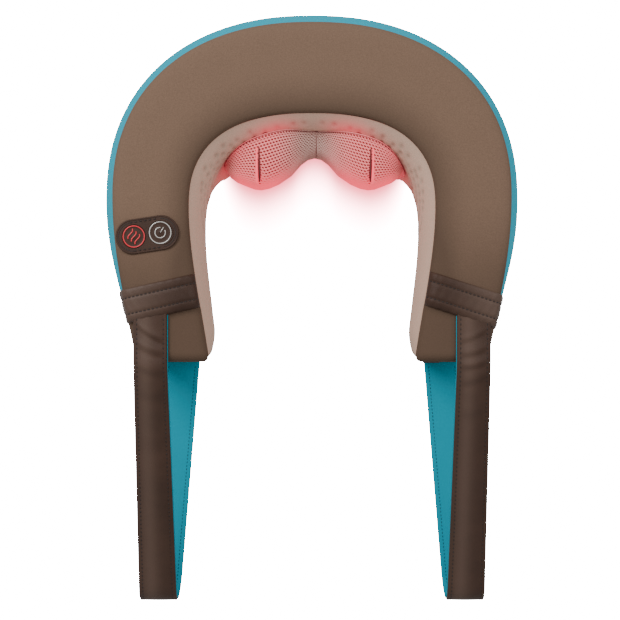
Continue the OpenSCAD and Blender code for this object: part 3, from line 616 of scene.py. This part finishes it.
def leg_ends():
    """Brown end of each leg: top, outer side, bottom and the rounded end face."""
    for side, name in SIDES.items():
        v = np.concatenate([3 + np.linspace(0.001, 0.999, 22), np.linspace(0.001, 0.999, 18),
                            1 + np.linspace(0.001, 0.999, 24)])
        wall = np.linspace(2.02, 2.98, 20)
        rings, loops = 40, np.concatenate([v, wall])
        grid = np.empty((rings, len(loops), 3))
        k = np.linspace(0, 1, rings) ** 0.8
        for j, vj in enumerate(loops):
            u0 = at_cuff(vj, 4, side)
            u = u0 + (side - u0) * k
            grid[:, j] = body(u, np.full_like(u, vj))
        grid = end_round(grid)
        m, mv = len(loops), len(v)
        faces = [f for f in grid_faces(rings, m, True) if (f[0] % m) < mv and (f[1] % m) < mv]
        verts = [grid.reshape(-1, 3)]
        last, centre = grid[-1], grid[-1].mean(0)
        base = (rings - 1) * m
        start = rings * m
        for step in (0.82, 0.6, 0.38, 0.16):
            ring = centre + (last - centre) * step - [0, 1.4 * (1 - step ** 2), 0]
            verts.append(ring)
            faces += [[base + j, base + (j + 1) % m, start + (j + 1) % m, start + j] for j in range(m)]
            base, start = start, start + m
        faces.append([base + j for j in range(m)])
        obj = new_object(f"leg_end_{name}", np.concatenate(verts), faces, BROWN_FABRIC, "brown_fabric")
        # painted shade: the leg ends almost as dark as the shaded copy, like the top cover beside them
        set_painted_light(obj, np.full(len(obj.data.vertices), 0.05))
        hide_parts(f"leg_end_cover_{name}")


def cuffs():
    """Padded band over the top, outer side and bottom of each leg, with two rows of stitching."""
    for side, name in SIDES.items():
        v = np.concatenate([3 + np.linspace(0.02, 0.99, 26), np.linspace(0.01, 0.99, 26),
                            1 + np.linspace(0.01, 0.995, 44)])
        d = np.linspace(-CUFF_HALF, CUFF_HALF, 45)
        grid = np.empty((len(d), len(v), 3))
        normal = np.empty_like(grid)
        for j, vj in enumerate(v):
            u = at_cuff(vj, d, side)
            grid[:, j] = body(u, np.full_like(u, vj))
            normal[:, j] = body_normal(u, np.full_like(u, vj))
        for _ in range(3):
            normal[:, 1:-1] = normal[:, :-2] + normal[:, 1:-1] * 2 + normal[:, 2:]
            normal = unit(normal)
        rows_at = np.minimum(*[np.abs(d - row) for row in CUFF_ROWS])
        rib = CUFF_RIB * (1 - np.exp(-(rows_at / 1.3) ** 1.3))
        edge = 1.3 * (1 - (np.abs(d) / CUFF_HALF) ** 12)
        end = np.minimum(1, np.arange(len(v))[::-1] / 5) ** 0.5
        side_wall = 1 - 0.45 * ((v > 0.1) & (v < 1.02))
        lift = (0.15 + edge + rib)[:, None] * (end * side_wall)[None]
        pucker = 0.18 * np.sin(np.arange(len(v))[None] * 1.3 + d[:, None] * 0.3) * (rib / CUFF_RIB)[:, None]
        outer = grid + normal * (lift + pucker * end)[..., None]
        low = outer[..., 2] < 0
        outer[..., 2] = np.where(low, 0, outer[..., 2])
        flange = grid[[0]] - normal[[0]] * 1.5, grid[[-1]] - normal[[-1]] * 1.5
        full = np.concatenate([flange[0], outer, flange[1]])
        obj = new_object(f"cuff_band_{name}", full.reshape(-1, 3), grid_faces(*full.shape[:2]), LEATHER_MAT,
                         "leatherette")
        # painted highlight: each cuff lighter towards the leg's outer end
        set_painted_light(obj, 0.5 * smooth_step((np.abs(full[..., 0]) - 108) / 50))
        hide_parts(f"cuff_{name}")
        rows = []
        for dist in CUFF_ROWS:
            i = np.abs(d - dist).argmin()
            rows.append(stitch_mesh(outer[i, 50:], normal[i, 50:], 2.4, 1.3, 0.5, 0.1))
        new_object(f"cuff_stitches_{name}", *join(rows), THREAD, "leatherette")


# ---------- straps ----------

STRAP_T = 3.4
LINING_T = 1.4
LOOP = box_mm("strap_loop_left")
LOOP_R = 19.5
LOOP_YZ = np.array([LOOP[0][1] + LOOP_R, LOOP[0][2] + LOOP_R])
SWING_Y = box_mm("strap_flex_left")[1][1]
LOOP_X = 138


# Folds in each strap's upper layer: distance from its hidden end, slant, height and width.
STRAP_FOLDS = {
    -1: ((23, 0.7, 1.0, 3.0), (36, 0.45, 0.9, 3.6), (53, 0.3, 0.6, 4.5), (75, 0.3, 0.4, 6.0),
         (118, 0.3, 0.3, 8.0)),
    1: ((25, 0.5, 0.7, 2.6), (38, 0.3, 0.8, 3.0), (49, 0.25, 0.8, 3.0), (62, 0.3, 0.6, 4.0),
        (90, 0.2, 0.4, 6.0)),
}


def strap_path():
    """Side view of the strap's outer face, from under the cuff round the loop to the leg's underside."""
    start = np.array([SWING_Y, TOP])
    to = start - LOOP_YZ
    touch = math.atan2(to[1], to[0]) + math.acos(LOOP_R / np.linalg.norm(to))
    arc = np.linspace(touch, 1.5 * np.pi, 26)
    turn = LOOP_YZ + LOOP_R * np.stack([np.cos(arc), np.sin(arc)], 1)
    upper = start + (turn[0] - start) * np.linspace(0.05, 0.98, 50)[:, None]
    tab = np.stack([np.linspace(6, SWING_Y + 1, 22), np.full(22, TOP)], 1)
    lower = np.stack([np.linspace(LOOP_YZ[0] + 3, -12, 60), np.full(60, LOOP_YZ[1] - LOOP_R)], 1)
    path = np.concatenate([tab, upper, turn, lower])
    for _ in range(4):
        path[1:-1] = (path[:-2] + 2 * path[1:-1] + path[2:]) / 4
    dist = run_length(path)
    s = np.arange(0, dist[-1], 2.0)
    path = np.stack([np.interp(s, dist, path[:, 0]), np.interp(s, dist, path[:, 1])], 1)
    t = frames(path)
    return s, path, np.stack([t[:, 1], -t[:, 0]], 1)


def strap_frame(side):
    s, yz, n = strap_path()
    turn = np.argmin(yz[:, 0])
    part = np.clip((SWING_Y - yz[:, 0]) / (SWING_Y - yz[turn, 0]), 0, 1)
    upper = np.arange(len(s)) <= turn
    start = np.where(upper, 135.2, 119)
    x = start + (LOOP_X - start) * part
    half = np.where(upper, 14.2, 15.5)
    half = half + (16.9 - half) * part
    return s, yz, n, x * side, half


def strap_surface(side, offsets, depth, wrinkle=True):
    """Points at fractions of the half-width and depths below the outer face."""
    s, yz, n, x, half = strap_frame(side)
    offsets, depth = np.broadcast_arrays(offsets, depth)
    grid = np.empty((len(s), len(offsets), 3))
    fold = np.zeros((len(s), len(offsets)))
    if wrinkle:
        for at, lean, size, width in STRAP_FOLDS[side]:
            where = s[:, None] - at + lean * offsets[None] * side * 12 + 3 * offsets[None] ** 2
            ridge = 1.2 * np.exp(-(where / width) ** 2) - 1.2 * np.exp(-((where - 1.3 * width) / width) ** 2)
            fold += size * ridge * (1 - np.abs(offsets[None] / 0.82) ** 4).clip(0)
    lift = fold - depth[None]
    grid[..., 0] = x[:, None] + offsets[None] * half[:, None]
    grid[..., 1] = yz[:, :1] + n[:, :1] * lift
    grid[..., 2] = yz[:, 1:] + n[:, 1:] * lift
    return grid


def strap_blend(obj):
    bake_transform(obj)


def straps():
    for side, name in SIDES.items():
        a = np.linspace(-1, 1, 41)
        hem = np.abs(a) > 0.80
        turned = 0.15 + 0.25 * (1 - ((np.abs(a) - 0.90) / 0.10) ** 2).clip(0)
        seam = -0.35 * np.exp(-((np.abs(a) - 0.78) / 0.03) ** 2)
        h = np.where(hem, turned, seam)
        h = h + 0.55 * (1 - a ** 2) * (~hem)
        h[[0, -1]] = -1.0
        loop_a = np.concatenate([a, a[::-4]])
        depth = np.concatenate([0.45 - h, np.full(len(a[::-4]), STRAP_T - LINING_T)])
        grid = strap_surface(side, loop_a, depth)
        n, m, _ = grid.shape
        faces = closed_faces(n, m)
        band = new_object(f"strap_band_{name}", grid.reshape(-1, 3), faces, LEATHER_MAT, "leatherette", None)
        # painted sheen: a lighter band a little towards the strap's -x edge
        set_painted_light(band, np.broadcast_to(0.45 * np.exp(-((loop_a + 0.35) / 0.5) ** 2), (n, m)))
        strap_blend(band)
        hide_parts(f"strap_loop_{name}", f"strap_tab_{name}", f"strap_flex_{name}")
        b = np.linspace(-1.0, 1.0, 15) - 0.035 * side
        loop_b = np.concatenate([b, b[::-1]])
        depth = np.concatenate([np.full(15, STRAP_T - LINING_T + 0.05), np.full(15, STRAP_T)])
        grid = strap_surface(side, loop_b, depth, False)
        n, m, _ = grid.shape
        faces = closed_faces(n, m)
        lining = new_object(f"strap_backing_{name}", grid.reshape(-1, 3), faces, TEAL_FABRIC,
                            "teal_fabric", None, uv=grid_uv(grid))
        strap_blend(lining)
        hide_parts(f"strap_lining_{name}")
        rows = []
        s, _, nn, _, _ = strap_frame(side)
        up = np.stack([np.zeros(len(s)), nn[:, 0], nn[:, 1]], 1)
        for off in (-0.78, 0.78):
            line = strap_surface(side, np.array([off]), np.array([0.62]))[:, 0]
            rows.append(stitch_mesh(line[5:-4], up[5:-4], 2.8, 1.2, 0.45))
            line = strap_surface(side, np.array([off]), np.array([STRAP_T + 0.05]), False)[:, 0]
            rows.append(stitch_mesh(line[24:-18], -up[24:-18], 2.2, 1.2, 0.25))
        threads = new_object(f"strap_stitches_{name}", *join(rows), THREAD, "leatherette", None)
        strap_blend(threads)


# ---------- pouch over the kneading heads ----------


WALL_X = np.linspace(0, 90, 91)
WALL_BULGE = np.linspace(0, 1, 41)


def wall_table():
    u = np.linspace(0, 0.6, 600)
    top, mid = along(INNER_TOP, u), along(INNER_MID, u)
    runs = [top + (mid - top) * b for b in WALL_BULGE]
    return np.array([np.interp(WALL_X, run[:, 0], run[:, 1]) for run in runs])


WALL = wall_table()


def wall_y(x, z):
    """Depth of the inner wall behind a point of the pouch."""
    bulge = 1 - np.abs((z - MID) / (MID - SEAM_IN)).clip(0, 1) ** INNER_FULLNESS
    k = bulge * (len(WALL_BULGE) - 1)
    low = np.floor(k).clip(0, len(WALL_BULGE) - 2).astype(int)
    i = np.abs(x).clip(0, 89.99)
    col = np.floor(i).astype(int)
    fx, fz = i - col, k - low
    a = WALL[low, col] * (1 - fx) + WALL[low, col + 1] * fx
    b = WALL[low + 1, col] * (1 - fx) + WALL[low + 1, col + 1] * fx
    return a * (1 - fz) + b * fz - swell(x, z)


def waist(x):
    """Share of its height that the pouch keeps towards its middle seam."""
    return 1 - 0.32 * np.exp(-((x - POD_SEAM_X) / 22) ** 2)


def pod_half(x):
    """Half height of the pouch's seam line."""
    return POD_HALF_Z * waist(x) * (1 - (np.abs(x - POD_SHIFT) / (POD_HALF_X + 1)) ** 5).clip(0) ** 0.5


POD_X = [0, 6, 12.3, 20.7, 31.9, 40.3, 47.3, 53, 58.5, 68.3, 74, 79.5, 84]
POD_Y = [137, 135.6, 131, 121.5, 114, 110.4, 109, 109.6, 111.6, 115.5, 119.5, 128.5, 141]


def pod_point(x, s):
    """Pouch surface at x and at a height fraction s from -1 at its lower seam to 1 at its upper one."""
    z = MID + s * pod_half(x)
    back = wall_y(x, z) + 1.2
    front = np.minimum(np.interp(np.abs(x - POD_SHIFT), POD_X, POD_Y), back - 3)
    bow = (1 - np.abs(s) ** 5).clip(0) ** 0.5
    y = back - (back - front) * bow
    off = np.abs(x - POD_SHIFT) - DART_X
    width = np.where(off > 0, 0.9, 3.0)
    deep = smooth_step((s - 0.55) / 0.2) * (1 - smooth_step((s - 0.8) / 0.2))
    y = y + DART_DEPTH * np.exp(-(off / width) ** 2) * deep
    y = y - 1.3 * np.exp(-((off - 2.2) / 1.4) ** 2) * deep
    y = y + 1.0 * np.exp(-((x - POD_SEAM_X) / 1.2) ** 2) * smooth_step(s / 0.2 + 0.3)
    return np.stack([x, y, z], -1)


def pod_glow(x, s):
    """How much lamp light comes through: strongest low on the two peaks, least at the middle seam."""
    side = smooth_step((np.abs(x) - 4) / 34)
    low = 1 - 0.55 * smooth_step((s - 0.35) / 0.65)
    outer = 1 - 0.7 * smooth_step((np.abs(x - POD_SHIFT) - 64) / 12)
    return np.clip(0.06 + 0.94 * side * low * outer, 0, 1)


def even_columns():
    """x stations spaced evenly along the pouch's front."""
    x = POD_SHIFT + np.linspace(-POD_HALF_X - 0.5, POD_HALF_X + 0.5, 1200)
    p = pod_point(x, np.full_like(x, 0.35))
    dist = run_length(p)
    return lambda k: np.interp(k * dist[-1], dist, x)


def even_rows():
    """Height fractions spaced evenly over the pouch's rise and fall."""
    s = np.linspace(-1, 1, 800)
    p = pod_point(np.full_like(s, 42.0), s)
    dist = run_length(p)
    return lambda k: np.interp(k * dist[-1], dist, s)


def pouch():
    """Knitted air mesh with real openings in brick order, over a lamp-lit liner."""
    to_x, to_s = even_columns(), even_rows()
    cols, rows = 68, 50
    cell = np.array([(0, 0), (0.5, 0), (1, 0), (1, 0.5), (1, 1), (0.5, 1), (0, 1), (0, 0.5)])
    ang = np.arctan2(cell[:, 1] - 0.5, cell[:, 0] - 0.5)
    hole = 0.5 + np.stack([0.43 * np.cos(ang), 0.31 * np.sin(ang) - 0.12 * np.cos(ang)], 1)
    verts, faces = [], []
    for j in range(rows):
        shift = 0.5 * (j % 2)
        for i in range(-1, cols):
            corner = np.array([i + shift, j])
            ring, eye = cell + corner, hole + corner
            if ring[:, 0].min() < 0 or ring[:, 0].max() > cols:
                continue
            start = len(verts) * 24
            verts.append(np.concatenate([ring, eye, eye]))
            for low in (start, start + 8):
                faces += [[low + k, low + (k + 1) % 8, low + 8 + (k + 1) % 8, low + 8 + k] for k in range(8)]
    flat = np.concatenate(verts)
    x, s = to_x(flat[:, 0] / cols), to_s(flat[:, 1] / rows)
    p = pod_point(x, s)
    eps = 0.5
    tx = pod_point(x + eps, s) - pod_point(x - eps, s)
    ts = pod_point(x, np.clip(s + 0.02, -1, 1)) - pod_point(x, np.clip(s - 0.02, -1, 1))
    normal = unit(np.cross(tx, ts))
    level = np.tile(np.repeat([0.0, 0.25, -0.75], 8), len(verts))
    p = p + normal * level[:, None]
    obj = new_object("head_pouch", p, faces, MESH_CLOTH, "mesh_fabric")
    set_painted_light(obj, pod_glow(x, s) * 0.8, "glow")
    weld(obj)
    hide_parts("node_cover")
    gx = POD_SHIFT + np.linspace(-POD_HALF_X - 0.9, POD_HALF_X + 0.9, 150)
    gx, gs = np.meshgrid(gx, np.linspace(-1, 1, 60), indexing="ij")
    grid = pod_point(gx, gs) + [0, 1.0, 0]
    liner = new_object("pouch_liner", grid.reshape(-1, 3), grid_faces(*grid.shape[:2]), MESH_LINER,
                       "mesh_fabric")
    set_painted_light(liner, pod_glow(gx, gs), "glow")
    pouch_seam_shadows()


def pouch_seam_shadows():
    """Painted shadow as thin dark tubes round the pouch's seam, in the two darts and along the middle seam;
    and the darts' raised lips.
    """
    a = np.linspace(0, 2 * np.pi, 160, endpoint=False)
    seam = np.where(np.sin(a) >= 0, 1.0, -1.0)
    edge = pod_point(POD_SHIFT + (POD_HALF_X + 0.8) * np.cos(a), seam) - [0, 1.1, 0]
    line = np.linspace(0.99, 0.66, 40)
    taper = np.sin(np.linspace(0.25, np.pi, 40))
    # painted shadow: the dark tubes go in SEAM_SHADOW_MAT
    dark, lips = [tube_mesh(edge, 0.36, 8, True)], []
    for side in SIDES:
        fold = pod_point(np.full(40, POD_SHIFT + side * (DART_X - 0.4)), line) - [0, 0.7, 0]
        dark.append(tube_mesh(fold, 0.4 + 0.9 * taper, 8))
        lip_x = POD_SHIFT + side * (DART_X + 1.7)
        lips.append(tube_mesh(pod_point(np.full(40, lip_x), line) - [0, 0.1, 0], 0.4 + 0.8 * taper, 8))
    middle = np.linspace(0.985, -0.1, 48)
    dark.append(tube_mesh(pod_point(np.full(48, POD_SEAM_X), middle) - [0, 0.2, 0], 0.32, 6))
    new_object("pouch_seam_shadows", *join(dark), SEAM_SHADOW_MAT, "mesh_fabric")
    lip = new_object("pouch_dart_lips", *join(lips), MESH_CLOTH, "mesh_fabric")
    set_painted_light(lip, np.full(len(lip.data.vertices), 0.75), "glow")


def weld(obj, distance=0.00002):
    bm = bmesh.new()
    bm.from_mesh(obj.data)
    bmesh.ops.remove_doubles(bm, verts=bm.verts, dist=distance)
    bm.to_mesh(obj.data)
    bm.free()


# ---------- control patch and buttons ----------

PATCH_LO, PATCH_HI = box_mm("control_patch")
PATCH_AT = (PATCH_LO + PATCH_HI) / 2
PATCH_TURN = math.radians(8.5)
PATCH_L, PATCH_W = 53.0, 29.0


def on_patch(node):
    """Middle of a button on the patch's own axes."""
    lo, hi = box_mm(node)
    d = (lo + hi) / 2 - PATCH_AT
    c, s = math.cos(PATCH_TURN), math.sin(PATCH_TURN)
    return np.array([c * d[0] + s * d[1], c * d[1] - s * d[0]])


def to_patch(points):
    """From the patch's own plane to the part's frame; z is above the top panel."""
    c, s = math.cos(PATCH_TURN), math.sin(PATCH_TURN)
    p = np.asarray(points, float)
    x, y = PATCH_AT[0] + c * p[:, 0] - s * p[:, 1], PATCH_AT[1] + s * p[:, 0] + c * p[:, 1]
    return np.stack([x, y, TOP + p[:, 2]], 1)


def stadium(length, width, n=24):
    a = np.linspace(-np.pi / 2, np.pi / 2, n)
    r, h = width / 2, (length - width) / 2
    right = np.stack([h + r * np.cos(a), r * np.sin(a)], 1)
    run = np.linspace(1, -1, 12)[1:-1]
    top = np.stack([h * run, np.full(10, r)], 1)
    return np.concatenate([right, top, -right, -top])


def filled(outlines, z0, z1, bevel):
    """Flat plate with round holes, its outer edge rounded, as vertices and faces."""
    curve = bpy.data.curves.new("outline", "CURVE")
    curve.dimensions, curve.fill_mode = "2D", "BOTH"
    for line in outlines:
        spline = curve.splines.new("POLY")
        spline.points.add(len(line) - 1)
        for k, (x, y) in enumerate(line):
            spline.points[k].co = (x, y, 0, 1)
        spline.use_cyclic_u = True
    curve.extrude, curve.bevel_depth, curve.bevel_resolution = (z1 - z0) / 2 - bevel, bevel, 3
    obj = bpy.data.objects.new("outline", curve)
    bpy.context.scene.collection.objects.link(obj)
    mesh = bpy.data.meshes.new_from_object(obj.evaluated_get(bpy.context.evaluated_depsgraph_get()))
    verts = np.array([v.co[:] for v in mesh.vertices]) + [0, 0, (z0 + z1) / 2]
    faces = [list(p.vertices) for p in mesh.polygons]
    bpy.data.objects.remove(obj)
    bpy.data.meshes.remove(mesh)
    return verts, faces


def circle(r, n=64):
    a = np.linspace(0, 2 * np.pi, n, endpoint=False)
    return np.stack([r * np.cos(a), r * np.sin(a)], 1)


def with_z(xy, z):
    return np.concatenate([xy, np.full((len(xy), 1), z)], 1)


# A button's cap, turned: radius, and height above the top panel.
CAP_PROFILE = [(2.5, -4.6), (2.5, -1.4), (9.3, -1.4), (9.7, -1.0), (9.7, 0.9), (9.5, 1.3), (8.9, 1.5),
               (8.2, 1.35), (7.6, 1.1), (6.5, 1.15), (4, 1.3), (0.6, 1.36)]


def lathe(profile, n=64):
    """Turned shape about its own axis, from pairs of radius and height."""
    a = np.linspace(0, 2 * np.pi, n, endpoint=False)
    rings = [np.stack([r * np.cos(a), r * np.sin(a), np.full(n, z)], 1) for r, z in profile]
    last = (len(rings) - 1) * n
    faces = grid_faces(len(rings), n, True).tolist() + [list(range(n)), list(range(last, last + n))[::-1]]
    return np.concatenate(rings), faces


def patch_skin(centres):
    holes = [circle(10.3) + c for c in centres]
    verts, faces = filled([stadium(PATCH_L - 1, PATCH_W - 1), *holes], -0.6, 1.2, 0.5)
    rim = tube_mesh(to_patch(with_z(stadium(PATCH_L - 1.6, PATCH_W - 1.6), 0.85)), 0.8, 10, True)
    ridge = stadium(PATCH_L - 9.4, PATCH_W - 9.4, 40)
    ridge = ridge[ridge[:, 0] > 12]
    ridge = ridge[np.argsort(ridge[:, 1])]
    ends = tube_mesh(to_patch(with_z(ridge, 1.1)), 0.7, 8)
    skin = join([(to_patch(verts), faces), rim, ends])
    obj = new_object("control_patch_skin", *skin, LEATHER_MAT, "leatherette")
    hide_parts("control_patch")


def patch_stitches():
    line = stadium(PATCH_L - 5.2, PATCH_W - 5.2, 40)
    sides = line[np.abs(line[:, 0]) < 13]
    straight = [sides[sides[:, 1] * k > 0] for k in (-1, 1)]
    parts = []
    for run in straight:
        run = to_patch(with_z(run[np.argsort(run[:, 0])], 1.2))
        parts.append(stitch_mesh(run, np.tile([0, 0, 1.0], (len(run), 1)), 2.5, 1.5, 0.5, 0.15))
    for k in (-1, 1):
        turn = line[line[:, 0] * k > 12.5]
        turn = turn[np.argsort(turn[:, 1])]
        parts.append(tube_mesh(to_patch(with_z(turn, 1.12)), 0.38, 6))
    new_object("patch_stitches", *join(parts), THREAD, "leatherette")


def world_turned(points):
    """Turns a flat figure drawn upright in the picture onto the patch's own axes."""
    c, s = math.cos(PATCH_TURN), math.sin(PATCH_TURN)
    return np.stack([c * points[:, 0] + s * points[:, 1], c * points[:, 1] - s * points[:, 0]], 1)


def power_marking(at, z):
    a = np.radians(np.linspace(86, 389, 48))
    arc = np.stack([4.35 * np.cos(a), 4.35 * np.sin(a)], 1)
    bar = np.array([[0.1, 0.0], [1.4, 2.2], [2.9, 4.6]])
    return [tube_mesh(to_patch(with_z(world_turned(f) + at, z)), 0.44, 8) for f in (arc, bar)]


def heat_marking(at, z):
    t = np.linspace(-1, 1, 28)
    parts = []
    for k in (-1, 0, 1):
        wave = np.stack([2.95 * k + 2.0 * np.sin(2.1 * t), -2.2 * k + 4.2 * t], 1)
        parts.append(tube_mesh(to_patch(with_z(world_turned(wave) + at, z)), 0.5, 8))
    return parts


def button_cap(node, marking, ring_r, ink):
    at = on_patch(node)
    verts, faces = lathe(CAP_PROFILE)
    verts = to_patch(verts + [at[0], at[1], 0])
    obj = new_object(f"{node}_cap", verts, faces, LEATHER_MAT, "leatherette", node)
    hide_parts(node)
    ring = tube_mesh(to_patch(with_z(circle(ring_r, 72) + at, 1.4)), 0.5, 8, True)
    new_object(f"{node}_marking", *join([ring, *marking(at, 1.45)]), ink, "leatherette", node)


def control_patch():
    nodes = ("heat_button", "power_button")
    patch_skin([on_patch(node) for node in nodes])
    patch_stitches()
    button_cap("heat_button", heat_marking, 8.8, RED_INK)
    button_cap("power_button", power_marking, 9.0, SILVER_INK)


# ---------- foam core ----------


# Each foam block's node, and where it starts and ends along the collar.
FOAM_BLOCKS = (("foam_leg_left", -0.985, -0.66), ("foam_back", -0.655, 0.655),
               ("foam_leg_right", 0.66, 0.985))
FOAM_HEAD_Y = 157.5


def foam():
    """Foam under the covers, in the three blocks, kept clear of the panels."""
    for name, u0, u1 in FOAM_BLOCKS:
        u = np.linspace(u0, u1, 60)
        v = np.linspace(0, 4, 64, endpoint=False)
        uu, vv = np.meshgrid(u, v, indexing="ij")
        grid = body(uu, vv)
        grid = grid + unit(centre_of(grid) - grid) * 7.5
        heads = (np.abs(grid[..., 0]) < 88) & (np.abs(grid[..., 2] - MID) < 34) & (grid[..., 1] > 90)
        grid[..., 1] = np.where(heads, np.maximum(grid[..., 1], FOAM_HEAD_Y), grid[..., 1])
        n, m, _ = grid.shape
        faces = closed_faces(n, m)
        obj = new_object(name + "_block", grid.reshape(-1, 3), faces, FOAM, "foam")
        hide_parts(name)


# ---------- materials of the mechanism ----------


def inner_materials():
    kinds = {
        "white_nylon": moulded("nylon", (0.78, 0.77, 0.72), 0.42),
        "black_plastic": moulded("black_abs", (0.022, 0.022, 0.025), 0.5),
        "steel": metal("turned_steel", (0.60, 0.61, 0.63), 0.28),
        "brass": metal("machined_brass", (0.78, 0.56, 0.24), 0.3),
        "zinc_plate": metal("zinc_plate", (0.58, 0.60, 0.62), 0.42, (60, 60, 60)),
        "magnet": moulded("sintered_magnet", (0.05, 0.05, 0.055), 0.6, Metallic=0.5),
        "copper": metal("copper_winding", (0.70, 0.32, 0.16), 0.35, (2500, 50, 50)),
        "circuit_board": moulded("green_board", (0.03, 0.17, 0.08), 0.35),
        "lamp_board": moulded("white_board", (0.75, 0.75, 0.73), 0.4),
        "lamp_lens": moulded("lamp_lens", (0.8, 0.04, 0.04), 0.15),
        "lead_jacket": moulded("lead_jacket", (0.02, 0.02, 0.022), 0.6),
        "foam": FOAM,
        "leatherette": LEATHER_MAT,
        "brown_fabric": BROWN_FABRIC,
        "teal_fabric": TEAL_FABRIC,
        "taupe_fabric": TAUPE_FABRIC,
        "mesh_fabric": MESH_CLOTH,
    }
    for part in frame["record"]["subparts"]:
        obj = frame["nodes"][part["node"]]
        obj.data.materials.clear()
        obj.data.materials.append(kinds[part["material_slot"]])


# ---------- camera, floor and light ----------


CAMERA_UP = 1064  # above the top panel
MM_PER_PIXEL = 0.834  # at the top panel
HALF_FRAME = 310  # pixels
HALF_SENSOR = 18
# The camera sees the pouch's outline this much larger on the floor.
FLOOR_SCALE = (TOP + CAMERA_UP) / (TOP + CAMERA_UP - MID)


def camera():
    cam = bpy.data.objects.new("camera", bpy.data.cameras.new("camera"))
    bpy.context.scene.collection.objects.link(cam)
    cam.location = (-1.7 * MM, 2.7 * MM, (TOP + CAMERA_UP) * MM)
    cam.data.sensor_width = 2 * HALF_SENSOR
    cam.data.lens = HALF_SENSOR * CAMERA_UP / (HALF_FRAME * MM_PER_PIXEL)
    bpy.context.scene.camera = cam


def area(name, at, target, size, power):
    light = bpy.data.lights.new(name, "AREA")
    light.energy, light.size = power, size
    obj = bpy.data.objects.new(name, light)
    obj.location = at
    obj.rotation_mode = "QUATERNION"
    obj.rotation_quaternion = (Vector(target) - Vector(at)).to_track_quat("-Z", "Y")
    bpy.context.scene.collection.objects.link(obj)


def floor_glow(n):
    """Lamp light on the floor beside the pouch, from 1 at the pouch's outline to 0 away from it."""
    axes = n.new("ShaderNodeSeparateXYZ", Vector=n.place).outputs
    x = n.math("ABSOLUTE", n.math("SUBTRACT", axes["X"], POD_SHIFT * MM))
    outline = n.new("ShaderNodeFloatCurve", Value=n.math("DIVIDE", x, 100 * MM * FLOOR_SCALE))
    line = outline.mapping.curves[0]
    line.points[0].location = (0, POD_Y[0] / 200)
    line.points[1].location = (1, POD_Y[-1] / 200)
    for px, py in zip(POD_X[1:], POD_Y[1:]):
        line.points.new(px / 100, py / 200)
    outline.mapping.update()
    edge = n.math("ADD", n.math("MULTIPLY", outline.outputs["Value"], 200 * MM * FLOOR_SCALE), 2 * MM)
    away = n.math("MAXIMUM", n.math("SUBTRACT", edge, axes["Y"]), 0.0)
    past = n.math("MAXIMUM", n.math("SUBTRACT", x, 0.060), 0.0)
    under = n.math("MAXIMUM", n.math("SUBTRACT", axes["Y"], 0.16), 0.0)
    fade = n.math("ADD", n.math("DIVIDE", away, 0.021), n.math("POWER", n.math("DIVIDE", past, 0.024), 2.0))
    fade = n.math("ADD", fade, n.math("DIVIDE", under, 0.01))
    return n.math("EXPONENT", n.math("MULTIPLY", fade, -1.0), 0.0)


def stage():
    mesh = bpy.data.meshes.new("floor")
    mesh.from_pydata([(-4, -4, 0), (4, -4, 0), (4, 4, 0), (-4, 4, 0)], [], [(0, 1, 2, 3)])
    floor = bpy.data.objects.new("floor", mesh)
    n = Nodes("studio_floor")
    near = floor_glow(n)
    glow = n.mix(n.math("POWER", near, 0.45), (1, 1, 1), (1.0, 0.085, 0.17))
    n.link(glow, n.shader.inputs["Emission Color"])
    pale = n.math("POWER", n.math("SUBTRACT", 1.0, near), 3.0)
    n.link(n.math("ADD", n.math("MULTIPLY", pale, 30.0), 2.7), n.shader.inputs["Emission Strength"])
    white = n.ramp(n.noise(3), (0.90, 0.90, 0.90), (0.93, 0.93, 0.93))
    mesh.materials.append(n.finish(n.mix(near, white, (0.95, 0.25, 0.32)), 0.8, Specular_IOR_Level=0.1))
    bpy.context.scene.collection.objects.link(floor)
    floor.visible_diffuse = floor.visible_glossy = False
    world = bpy.data.worlds.new("studio")
    bpy.context.scene.world = world
    world.use_nodes = True
    world.node_tree.nodes["Background"].inputs["Color"].default_value = (1, 1, 1, 1)
    world.node_tree.nodes["Background"].inputs["Strength"].default_value = 0.65
    area("key", (-0.9, 0.9, 1.3), (0, 0.05, 0.05), 0.7, 25)
    area("fill", (1.0, 0.5, 1.2), (0, 0.05, 0.05), 0.9, 9)


camera()
stage()
inner_materials()
cover_panels()
inner_wall()
leg_ends()
cuffs()
straps()
pouch()
control_patch()
foam()
